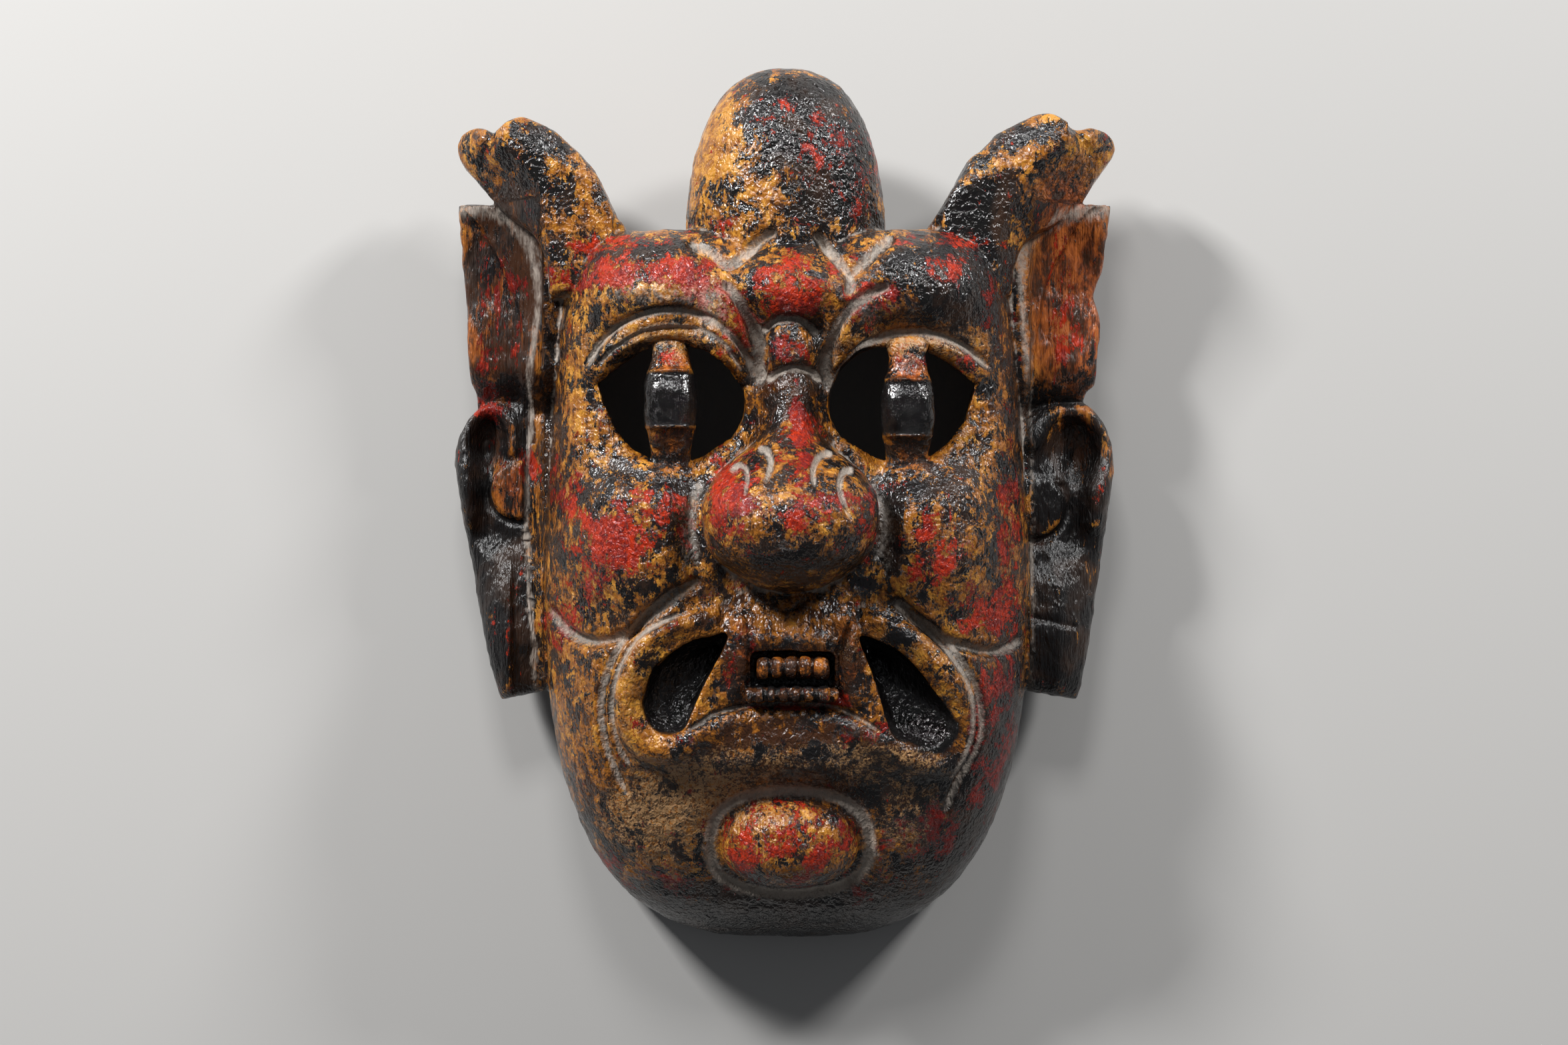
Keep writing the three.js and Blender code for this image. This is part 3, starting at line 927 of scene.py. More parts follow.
@dataclass
class MouthCorner:
    """A leaf-shaped pocket at a mouth corner, narrowing inwards about the place where it breaks through.

    drift is how far that place moves across and up on the way in.
    """

    through: Point
    drift: Point
    outline: tuple[Point, ...]
    stations: tuple[tuple[float, float], ...] = (
        (150.0, 1.04), (104.0, 1.02), (99.0, 0.98), (93.0, 0.84), (89.0, 0.56), (86.0, 0.36), (81.0, 0.17), (60.0, 0.16),
    )

    def build(self, shop: Workshop) -> bpy.types.Object:
        """The cutter: middle + (outline - middle) * size, at a height for each station, plus the drift."""
        edge = even_line(np.vstack([smooth_line(self.outline, 16, True), self.outline[0]]), 140)[:-1]
        middle = np.array(self.through)
        heights, sizes = np.array(self.stations).T
        z = np.linspace(heights[0], heights[-1], 60)
        size = np.interp(-z, -heights, sizes)
        moved = 1.0 - ease(81.0, 90.0, z)[:, None]
        rings = np.stack([
            middle[0] + (edge[None, :, 0] - middle[0]) * size[:, None] + self.drift[0] * moved,
            middle[1] + (edge[None, :, 1] - middle[1]) * size[:, None] + self.drift[1] * moved,
            np.broadcast_to(z[:, None], (len(z), len(edge))),
        ], axis=-1)
        return shop.closed("mouth_corner", rings)


@dataclass
class ToothRow:
    """A row of teeth: one rounded bar, pinched between each tooth and the next."""

    gaps: tuple[float, ...]
    y: float
    z: float
    tall: float
    deep: float
    pinch: float

    def build(self, shop: Workshop) -> bpy.types.Object:
        """Sections along the row, whose radius is 1 - pinch * exp(-(distance to a gap / 0.9) ** 2)."""
        x = np.linspace(self.gaps[0], self.gaps[-1], 150)
        away = np.abs(x[:, None] - np.array(self.gaps)[None, :]).min(axis=1)
        radius = (1.0 - self.pinch * np.exp(-((away / 1.1) ** 2)))[:, None]
        angle = 2.0 * np.pi * np.arange(40)[None, :] / 40
        sag = 0.0016 * (x[:, None] - x.mean()) ** 2
        y = self.y - sag + self.tall * radius * squared(np.cos(angle), 2.6)
        z = self.z + self.deep * radius * squared(np.sin(angle), 2.4)
        return shop.closed("teeth", np.stack([np.broadcast_to(x[:, None], y.shape), y, z], axis=-1))


@dataclass
class Mouth:
    """The pierced corners, and the slot with its two rows of teeth."""

    corners: tuple[MouthCorner, ...] = (
        MouthCorner(
            (-36, -69),
            (12, 11),
            ((-26, -56.5), (-36, -56.5), (-45, -59.5), (-58.5, -71), (-64, -87), (-58, -98.5), (-46.5, -98.5), (-37, -79)),
        ),
        MouthCorner(
            (42, -71),
            (-12, 12),
            ((31.5, -56.2), (41, -58.5), (49, -62.5), (58, -70.5), (68, -84), (76, -96), (72, -107), (61, -107.5),
             (47, -100), (38, -74)),
        ),
    )
    slot: tuple[float, float, float, float] = (-16.0, 21.5, -83.0, -62.5)
    slot_floor: float = 92.0
    upper: ToothRow = field(default_factory=lambda: ToothRow(
        (-13.2, -7.3, -1.2, 5, 11.4, 18.6), -70.0, 99.5, 5.3, 8.0, 0.22))
    lower: ToothRow = field(default_factory=lambda: ToothRow(
        (-18, -14.5, -9.4, -4.2, 1.3, 6.8, 13, 20, 22.6), -81.8, 100.5, 3.8, 8.0, 0.26))

    def slot_cutter(self, shop: Workshop) -> bpy.types.Object:
        """The slot: a squared tube between its four sides, from its floor out through the front."""
        left, right, low, high = self.slot
        angle = 2.0 * np.pi * np.arange(60) / 60
        x = (left + right) / 2.0 + (right - left) / 2.0 * squared(np.cos(angle), 7.0)
        y = (low + high) / 2.0 + (high - low) / 2.0 * squared(np.sin(angle), 7.0)
        rings = [np.column_stack([x, y, np.full(len(x), z)]) for z in (self.slot_floor, 105.0, 140.0)]
        return shop.closed("tooth_slot", np.array(rings))


# ----------------------------------------------------------------------------------------------- the carving


GROOVES: tuple[Stroke, ...] = (
    # Eyelid creases.
    Stroke(((-89, 63), (-83, 74), (-71, 83), (-54, 87.5), (-39, 85.5), (-27, 78.5), (-18, 68), (-13, 56)),
           1.8, -2.8, 0.85),
    Stroke(((-84, 64), (-76, 72), (-64, 79), (-50.8, 81), (-37, 79), (-27, 72), (-19, 60)), 1.1, -1.6, 0.7),
    Stroke(((21, 57), (26.5, 64.5), (36, 73), (50, 78), (64, 77.8), (78, 72.5), (91, 62.5)), 1.8, -2.8, 0.85),
    # Inner edges of the brows.
    Stroke(((-29, 99.5), (-24.6, 96.5), (-18.4, 87), (-13.9, 78.4), (-12, 68), (-12.8, 54)), 2.6, -4.4, 0.85),
    Stroke(((46, 98.5), (36, 94), (27, 86.5), (20.6, 76.5), (17.4, 64), (20.4, 51.5)), 2.4, -4.2, 0.85),
    # The creases beside the forehead swelling.
    Stroke(((-44, 118.5), (-35.2, 114.6), (-27.5, 108.5), (-23.6, 108.8), (-16.7, 115), (-9, 121), (-4, 123)),
           2.4, -3.8, 0.7),
    Stroke(((12.5, 123), (17.5, 117), (24.2, 108.1), (28.1, 101.7), (27, 93)), 2.3, -4.0, 0.75),
    Stroke(((47, 122), (37.2, 112), (28.5, 103.5)), 2.6, -3.8, 0.7),
    # The roll of skin at the root of the nose.
    Stroke(((-11.5, 77.5), (-5.5, 82.3), (1, 83.3), (7.4, 82.3), (14.2, 76.5)), 1.7, -2.8, 0.95),
    Stroke(((-9, 56), (-2.9, 60.3), (4, 61.7), (11.3, 60.3), (15.6, 56)), 1.7, -2.6, 0.95),
    # Nostrils.
    Stroke(((-24.5, 15.5), (-21, 18.8), (-17.6, 16.8), (-17.2, 11.5), (-18.4, 5)), 1.7, -2.3, 1.0, 1.0, 0.12, taper=0.6),
    Stroke(((-13, 26), (-9, 25.2), (-6.9, 20.5), (-7.8, 15), (-9.6, 11)), 1.9, -2.6, 1.0, 1.0, 0.12, taper=0.55),
    Stroke(((20.5, 23.6), (15.6, 23.6), (12.2, 19.6), (11.3, 14.5), (12.6, 9)), 1.9, -2.6, 1.0, 1.0, 0.12, taper=0.55),
    Stroke(((29.5, 16), (25.6, 16.4), (23, 12.2), (23.6, 5), (27.6, -5)), 2.0, -2.5, 1.0, 1.0, 0.12, taper=0.6),
    # Lower edges of the cheeks.
    Stroke(((-108, -44), (-98.7, -55), (-86.6, -59), (-71.4, -55.5), (-58, -46), (-47, -37.5), (-38, -31)),
           2.4, -4.4, 0.65),
    Stroke(((46, -40), (54.6, -46.9), (66.8, -56.0), (80.4, -61.1), (95.6, -63.6), (107, -59)), 2.4, -4.4, 0.65),
    # The two folds round each mouth corner.
    Stroke(((-46, -33), (-60.6, -44.8), (-71.3, -56.9), (-79.3, -71.6), (-82.7, -87.7), (-80.9, -104), (-76.3, -117),
            (-71.5, -128)), 1.7, -2.9, 0.8),
    Stroke(((-45, -45.5), (-58, -51.5), (-67.5, -59.8), (-74, -71.2), (-77.4, -85.1), (-76.6, -97.8), (-73.6, -107.9),
            (-69.5, -114)), 1.5, -2.6, 0.75),
    Stroke(((50, -43), (57.5, -48), (67, -55), (76.7, -66.1), (83.5, -77.5), (86.4, -89), (86.4, -101), (82, -112),
            (75.5, -124), (70.5, -137)), 1.7, -2.9, 0.8),
    Stroke(((52, -47.5), (62, -54), (72.0, -64.5), (79.4, -76), (82.2, -86), (82.4, -97.8), (79.4, -109), (73, -121)),
           1.5, -2.6, 0.75),
    # The line where the lower lip meets the upper jaw.
    Stroke(((-44, -98), (-38, -94.8), (-31.1, -90.4), (-17.7, -87.2), (-4.2, -86.5), (9.2, -86.5), (22.6, -88.4),
            (33.3, -93.6), (42, -99)), 1.2, -2.4, 0.55, 0.9),
    # The ring round the chin boss.
    Stroke(((-35, -150), (-32, -163), (-20, -171.5), (1, -175), (22, -171.5), (34.5, -163), (37.5, -150),
            (33.5, -137), (21, -128.5), (1, -125.5), (-19, -128.5), (-31, -137), (-35, -150)), 1.7, -1.5, 1.0, 1.7, 0.001),
    # The folds between the nose and the cheeks.
    Stroke(((-36, 15), (-41.5, 3), (-42, -12), (-38, -27)), 2.2, -1.6, 0.5, 1.3, 0.3),
    Stroke(((38, 12), (43, -1), (42.5, -15), (37, -29)), 2.2, -1.6, 0.45, 1.3, 0.3),
    # The gaps between the teeth.
    *(Stroke(((x, -64), (x - 0.4, -75.5)), 0.7, -0.9, fade=0.001) for x in (-7.1, -1.0, 5.2, 11.6)),
    *(Stroke(((x, -79), (x, -85.5)), 0.9, -1.0, fade=0.001) for x in (-14.5, -9.4, -4.2, 1.3, 6.8, 13, 20)),
    # The plates beside the teeth, and the notch under the nose.
    Stroke(((-15.8, -61), (-16.6, -70), (-16.8, -84)), 1.2, -1.6),
    Stroke(((26.5, -50), (22.4, -64.9), (21.6, -76), (24, -86)), 1.5, -2.6),
    Stroke(((5.5, -41.5), (6.5, -42.5)), 2.6, -6.0, 0.0, 1.0, 0.001),
)

RIDGES: tuple[Stroke, ...] = (
    # Upper lids, between the creases and the holes.
    Stroke(((-88, 57), (-80, 68.5), (-66, 76.5), (-52, 78.8), (-38, 76), (-27, 67), (-21, 54)), 4.6, 3.0),
    Stroke(((22.5, 50), (28.5, 61), (40, 70), (54, 73), (68, 72.4), (80, 66), (89, 57)), 4.6, 3.0),
    # Worn rims under the eyes.
    Stroke(((-84, 45), (-76, 28), (-62, 18.5), (-48, 16.5), (-34, 20), (-24, 30)), 4.0, 2.4),
    Stroke(((24, 31), (33, 21), (46, 17), (60, 18), (73, 25), (82, 38)), 4.0, 2.4),
    # Lips round the mouth corners.
    Stroke(((-29, -49), (-40, -49.5), (-51, -52.5), (-62, -60), (-69, -72), (-71, -86), (-68.5, -98), (-61, -106),
            (-50, -106.5), (-43, -103)), 5.4, 4.4),
    Stroke(((33, -47), (43, -51), (54, -57), (64, -66), (74, -78), (80, -91), (80.5, -103), (73, -112.5),
            (61, -113), (50, -108)), 5.4, 4.4),
    # The lower lip.
    Stroke(((-46, -105), (-36, -99), (-22, -93.5), (0, -92), (22, -94.5), (40, -103), (56, -111)), 4.6, 2.4),
    # The plate over the teeth, and the tusk plate on its right.
    Stroke(((-22, -46), (-20, -60), (-21, -74), (-27, -86)), 3.6, 1.6),
    Stroke(((28, -49), (27.5, -62), (28.5, -74), (32, -88)), 3.4, 3.6),
    Stroke(((-15, -58.4), (2, -57), (19, -58.4)), 3.4, 2.4),
)


@dataclass
class Mask:
    """The whole mask: joins its parts, hollows and pierces them, and carves the skin."""

    shop: Workshop
    face: FaceBlock = field(default_factory=FaceBlock)
    knot: TopKnot = field(default_factory=TopKnot)
    mouth: Mouth = field(default_factory=Mouth)
    nose: Nose = field(default_factory=Nose)
    chin: Ball = field(default_factory=lambda: Ball(1.2, -148.7, 71, 31.5, 21, 21.5, 25, 2.3))
    eyes: tuple[Eye, ...] = (Eye(-1, -51.5, 48.5), Eye(1, 53.5, 44.5))
    cell: float = 0.85
    smoothings: int = 1
    triangles: int = 196000

    def join(self) -> bpy.types.Object:
        """All the parts as one closed mesh, before the carving."""
        shop = self.shop
        stock = self.face.block(shop)
        joined = [self.nose.build(shop), self.chin.build(shop, "chin_boss"), self.knot.build(shop)]
        joined += [part.build(shop) for part in (*HORNS, *FLAPS, *EARS)]
        for part in joined:
            shop.combine(stock, part, "UNION")
        cut = [self.face.hollow(shop), self.mouth.slot_cutter(shop)]
        cut += [eye.hole(shop) for eye in self.eyes] + [corner.build(shop) for corner in self.mouth.corners]
        for part in cut:
            shop.combine(stock, part, "DIFFERENCE")
        added = [eye.bar(shop) for eye in self.eyes] + [self.mouth.upper.build(shop), self.mouth.lower.build(shop)]
        for part in added:
            shop.combine(stock, part, "UNION")
        LOG.info("joined: %d faces", len(stock.data.polygons))
        return stock

    def carve(self, stock: bpy.types.Object) -> None:
        """Press the grooves and raise the ridges over the front, along the skin's normal.

        Args:
            stock: the joined mask, already covered with an even skin.
        """
        points, normals = self.shop.measure(stock)
        x, y, z = points.T
        facing = ease(0.05, 0.45, normals[:, 2]) * ~self.face.in_hollow(points, 3.0)
        facing = facing * (np.abs(x) < 112.0) * (z > 20.0)
        height = np.zeros(len(x))
        for stroke in RIDGES:
            height += stroke.profile(x, y)[0]
        for stroke in GROOVES:
            height += stroke.profile(x, y)[0]
        tooled = ~self.face.in_hollow(points, 3.0) & (z > 4.0)
        chips = lattice_noise(points, 8.0, 3) * 0.38 + lattice_noise(points, 3.4, 4) * 0.3
        gouges = lattice_noise(points * np.array([1.0, 0.3, 1.0]), 7.0, 5) * 0.7
        points = points + normals * (height * facing + np.where(tooled, chips, gouges * (z > 4.0)))[:, None]
        points[:, 2] = np.maximum(points[:, 2], 0.0)
        self.shop.move(stock, points)

    def build(self) -> bpy.types.Object:
        """Make the carved mask, ready to be painted."""
        stock = self.join()
        stock.name = stock.data.name = "mask_carving"
        self.shop.reskin(stock, self.cell, self.smoothings)
        LOG.info("skinned: %d faces", len(stock.data.polygons))
        self.carve(stock)
        self.shop.thin(stock, self.triangles)
        LOG.info("thinned: %d faces", len(stock.data.polygons))
        return stock


# -------------------------------------------------------------------------------------------------- the paint


class Coat(Enum):
    """The layers that are worked out over the surface, as names of mesh attributes."""

    RED = "paint_red"
    # Black lacquer, with painted shade under the chin.
    BLACK = "paint_black_and_shade"
    RUST = "paint_rust"
    # Grime, with painted shade: darker on the right, lower down, under the chin and between the teeth.
    GRIME_AND_SHADE = "grime_and_painted_shade"
    BARE = "bare"
    # Dust, with a painted sheen on the right flap's band and along the flap crests.
    DUST_AND_SHEEN = "dust"
    WORN = "worn"
    # Gloss black on the pupils and pockets, and painted shadow in the slot between the teeth.
    GLOSS_AND_SLOT_SHADOW = "gloss_black_and_slot_shadow"
    INSIDE = "inside"
    STREAK = "streak"
    SMOOTH = "smooth"


def spots(*rows: tuple[float, ...]) -> tuple[Mound, ...]:
    """Patches of a layer: for each its place, half width, half height, amount, and maybe power and turn."""
    return tuple(Mound(*row) for row in rows)


COVER: dict[Coat, tuple[Mound, ...]] = {
    Coat.RED: spots(
        # Brow band and crown edge.
        (-78, 105, 28, 8, 0.78, 2.0), (-40, 101, 15, 9, 0.75), (-18, 82, 6, 12, 0.35), (34, 88, 10, 8, 0.4), (-79, 118.5, 18, 3.5, 0.6), (-48, 120, 14, 4, 0.5),
        (69, 120, 26, 3.5, 0.55), (39, 95, 14, 6, 0.6), (72, 106, 16, 8, 0.25), (90, 90, 5, 20, 0.25),
        (3, 101, 17, 12, 0.62), (1, 88, 15, 7, 0.75), (1, 70, 11, 8, 0.45), (54, 66, 7, 5, 0.35), (-51, 67, 7, 4, 0.45), (-27, 90, 10, 11, 0.5), (-26, 74, 7, 8, 0.3),
        # Nose.
        (5, 46, 2.6, 15, 0.8), (6, 26, 8, 14, 0.8), (-22, 2, 13, 19, 0.62), (8, 0, 20, 12, 0.42), (35, -4, 6, 13, 0.45),
        (0, -18, 26, 8, 0.1),
        # Cheeks.
        (-99, 6, 9, 15, 0.72), (-63, -8, 19, 13, 0.45), (-80, -20, 16, 20, 0.72), (-101, -50, 9, 12, 0.65),
        (66, -8, 10, 10, 0.5), (100, -8, 6, 28, 0.72), (63, -23, 9, 14, 0.5), (92, -46, 15, 12, 0.8),
        (-90, 35, 8, 10, 0.25), (-45, -4, 5, 10, 0.4),
        # Jaw and mouth.
        (98, -92, 8, 30, 0.3), (52, -150, 12, 16, 0.25), (40, 156, 6, 8, 0.4), (20, 178, 8, 6, 0.4),
        (71, -146, 12, 12, 0.6), (89, -108, 10, 30, 0.42), (-22, 12, 8, 8, 0.3), (18, 6, 12, 8, 0.2), (1, -150, 31, 18, 0.62), (-75, -161, 16, 12, 0.35),
        (-50, -170, 10, 7, 0.35), (24, -84.5, 8, 3, 0.9), (-20, -62, 7, 8, 0.3), (40, -172, 20, 8, 0.25),
        (42, -98, 5, 5, 0.35), (0, -87.5, 22, 1.6, 0.6, 2.0), (-24, -70, 4, 12, 0.25),
        # Knot, flaps, horns and ears.
        (17, 163, 10, 12, 0.6), (0, 181, 6, 4, 0.6), (29, 140, 9, 11, 0.5), (12, 128, 9, 5, 0.3), (-25, 128, 14, 3, 0.3),
        (34, 168, 6, 10, 0.3), (-134, 80, 12, 50, 0.24), (134, 106, 16, 30, 0.16), (-122, 105, 4, 4, 0.6),
        (-137, 46, 8, 5, 0.75), (-126.6, -60, 1.8, 34, 0.5), (-96, 120, 14, 4, 0.35), (-72, 134, 4, 10, 0.3),
        (-119, 20, 5, 10, 0.3), (132, 72, 6, 12, 0.2),
    ),
    Coat.BLACK: spots(
        (-65, 115, 36, 5, 0.45), (70, 104, 36, 16, 0.45), (78, 88, 20, 10, 0.4), (-60, 97, 30, 4, -0.3),
        (-114, 75, 3.5, 40, -0.3), (114, 75, 3, 30, -0.2), (-54, 80, 36, 6, -0.3), (56, 76, 36, 6, -0.4), (-45, -56, 22, 6, -0.3), (-68, -78, 6, 20, -0.2),
        (-18, -102, 40, 6, -0.2), (3, -52, 34, 5, -0.3), (-34, -132, 34, 18, -0.25), (50, -116, 28, 14, -0.3),
        (96, -110, 10, 40, 0.12), (54, 62, 7, 6, -0.35), (-51, 64, 7, 4, -0.2), (-90, -110, 14, 50, 0.1), (92, 60, 14, 20, 0.1), (14, 150, 26, 20, 0.3), (6, 176, 26, 14, 0.2),
        (-70, 92, 20, 7, 0.1), (-92, 75, 10, 24, -0.05), (-95, 45, 8, 22, -0.2), (-28, 112, 8, 6, -0.35),
        (-8, 112, 10, 6, 0.1), (10, 118, 12, 5, 0.2), (-55, 12, 24, 8, 0.3), (52, 6, 22, 10, 0.35), (45, -10, 7, 18, 0.45),
        (80, 10, 12, 14, 0.2), (-24, 60, 10, 16, 0.15), (30, 80, 10, 16, 0.15), (-52, -10, 9, 16, 0.3),
        (0, 68, 14, 9, 0.1), (14, -22, 24, 9, 0.35), (-10, -24, 16, 9, 0.3), (30, -8, 8, 14, 0.2), (-14, 12, 8, 8, 0.2), (-60, -35, 14, 8, 0.25), (-82, 0, 8, 10, 0.2),
        (-96, -80, 14, 40, -0.22), (-84, -112, 14, 22, -0.25), (-68, -95, 7, 16, -0.3), (-50, -54, 18, 5, -0.1),
        (62, -66, 10, 14, -0.1), (76, -96, 6, 14, -0.25), (55, -54, 12, 4, 0.3), (0, -97, 30, 5, -0.3),
        # The patch under the chin at (0, -188) is painted shade where the light falls off.
        (10, -112, 50, 10, 0.1), (60, -125, 26, 12, 0.3), (90, -125, 14, 40, 0.42), (0, -188, 80, 16, 0.48),
        (-62, -140, 20, 16, -0.2), (-30, -120, 20, 8, -0.15), (52, -140, 14, 14, -0.1), (84, -160, 24, 20, 0.4),
        (0, -45, 34, 8, -0.1), (0, -60, 26, 20, -0.15), (98, -70, 10, 50, 0.2),
        # Knot.
        (14, 162, 34, 44, 0.28, 2.0), (-33, 165, 11, 24, -0.4), (-4, 144, 11, 12, -0.5), (30, 130, 14, 10, 0.15),
        (-10, 190, 20, 8, 0.2),
        # Horns.
        (-90, 132, 13, 12, -0.3), (-116, 164, 18, 12, 0.35), (-146, 160, 6, 9, -0.2), (-112, 142, 16, 12, 0.2),
        (84, 135, 22, 20, 0.6), (106, 167, 20, 7, 0.5), (100, 157, 26, 4, -0.6, 1.5, 28), (64, 128, 6, 7, -0.5),
        (140, 160, 12, 12, -0.2), (120, 145, 14, 12, -0.1), (144, 170, 8, 4, 0.3),
        # Flaps.
        (-134, 90, 18, 56, 0.02), (134, 106, 18, 44, -0.36), (128, 60, 16, 16, 0.1),
    ),
    Coat.RUST: spots((132, 95, 24, 56, 0.95, 3.0), (-132, 90, 20, 56, 0.75, 3.0), (54, 63, 10, 11, 1.0, 2.0), (55, 26, 9, 9, 0.7),
                     (-51, 65, 9, 6, 0.9, 2.0), (-51, 25, 8, 9, 0.6), (122, 145, 14, 14, 0.6), (100, 10, 10, 60, 0.3),
                     (-122, 8, 8, 14, 0.6), (133, 28, 10, 14, 0.75, 2.0), (-136, 33, 9, 12, 0.6, 2.0),
                     (149, 26, 4, 14, 0.5), (-129, 9, 8, 15, 0.6, 2.0), (-20, -66, 7, 20, 0.8), (27, -66, 7, 22, 0.8),
                     (3, -70, 22, 14, 0.5)),
    # Grime and painted shade: darker on the right, on the lower face and under the chin, lighter on the left knob, brow
    # and jaw, following how the light falls.
    Coat.GRIME_AND_SHADE: spots(
        (2, -70, 34, 18, 0.3, 3.0), (0, -42, 40, 9, 0.2), (20, -112, 62, 16, 0.4), (60, -130, 40, 26, 0.4),
        (8, 164, 40, 40, 0.15, 2.0), (70, 100, 40, 30, 0.2),
        (0, -186, 90, 18, 0.7), (84, -150, 26, 34, 0.5), (98, -90, 14, 60, 0.35), (-132, 90, 20, 60, 0.5),
        (-118, 140, 12, 14, 0.4), (118, 146, 16, 14, 0.15), (0, 52, 16, 14, 0.35), (-60, -186, 40, 14, 0.5),
        (105, 60, 10, 50, 0.3), (-106, 30, 7, 80, 0.3), (50, 30, 60, 60, 0.12), (-28, 160, 18, 34, -0.2),
        (-60, 96, 40, 14, -0.12), (-64, -96, 16, 30, -0.15), (-30, -18, 70, 10, 0.1), (0, 0, 110, 130, 0.06, 4.0),
        (0, 58, 22, 34, 0.3), (10, -112, 80, 44, 0.14), (-60, 98, 44, 12, 0.08), (0, -98, 42, 8, 0.26), (-90, -90, 20, 60, 0.12), (-40, -48, 26, 8, 0.15), (-20, -66, 7, 20, 0.2), (27, -66, 7, 22, 0.25), (134, 95, 14, 50, 0.2),
        (-50, -125, 40, 26, 0.15), (96, -112, 12, 40, 0.4), (0, -182, 70, 14, 0.5), (133, 28, 10, 14, 0.5), (-136, 33, 9, 12, 0.6),
        (-78, -140, 24, 30, 0.2), (-100, 132, 30, 26, 0.15), (-51, 30, 10, 14, 0.4), (54, 30, 10, 14, 0.3),
    ),
    Coat.DUST_AND_SHEEN: spots((-62, 98, 44, 9, 0.2), (-40, 84, 26, 8, 0.16), (-14, 68, 7, 20, 0.34), (19, 68, 6, 20, 0.34), (-44, -12, 4, 22, 0.3), (44, -14, 4, 22, 0.3),
                     (0, -42, 30, 4, 0.2), (-33, 88, 8, 10, 0.3), (36, 86, 10, 7, 0.25), (-60, -48, 20, 4, 0.25),
                     (0, -119, 30, 6, 0.3), (60, -88, 4, 20, 0.1), (75, 100, 26, 6, 0.16), (-55, 94, 26, 4, 0.16)),
    Coat.BARE: spots((-58, -140, 24, 18, 0.8), (-40, -120, 20, 8, 0.4), (55, -140, 14, 14, 0.45), (30, -108, 20, 5, 0.25),
                     (-60, 74, 34, 7, 0.45), (56, 74, 34, 7, 0.5), (-34, -128, 34, 16, 0.4), (48, -118, 26, 12, 0.4),
                     (0, -112, 60, 7, 0.35), (-70, -80, 8, 34, 0.2), (40, -60, 30, 8, 0.2)),
}


# The dusty seam beside the left ear: upright positions, and distances from the middle.
SEAM = ((-88.0, -60.0, -40.0, -10.0, 20.0, 50.0, 100.0), (114.6, 116.5, 118.0, 119.8, 119.0, 118.0, 117.5))


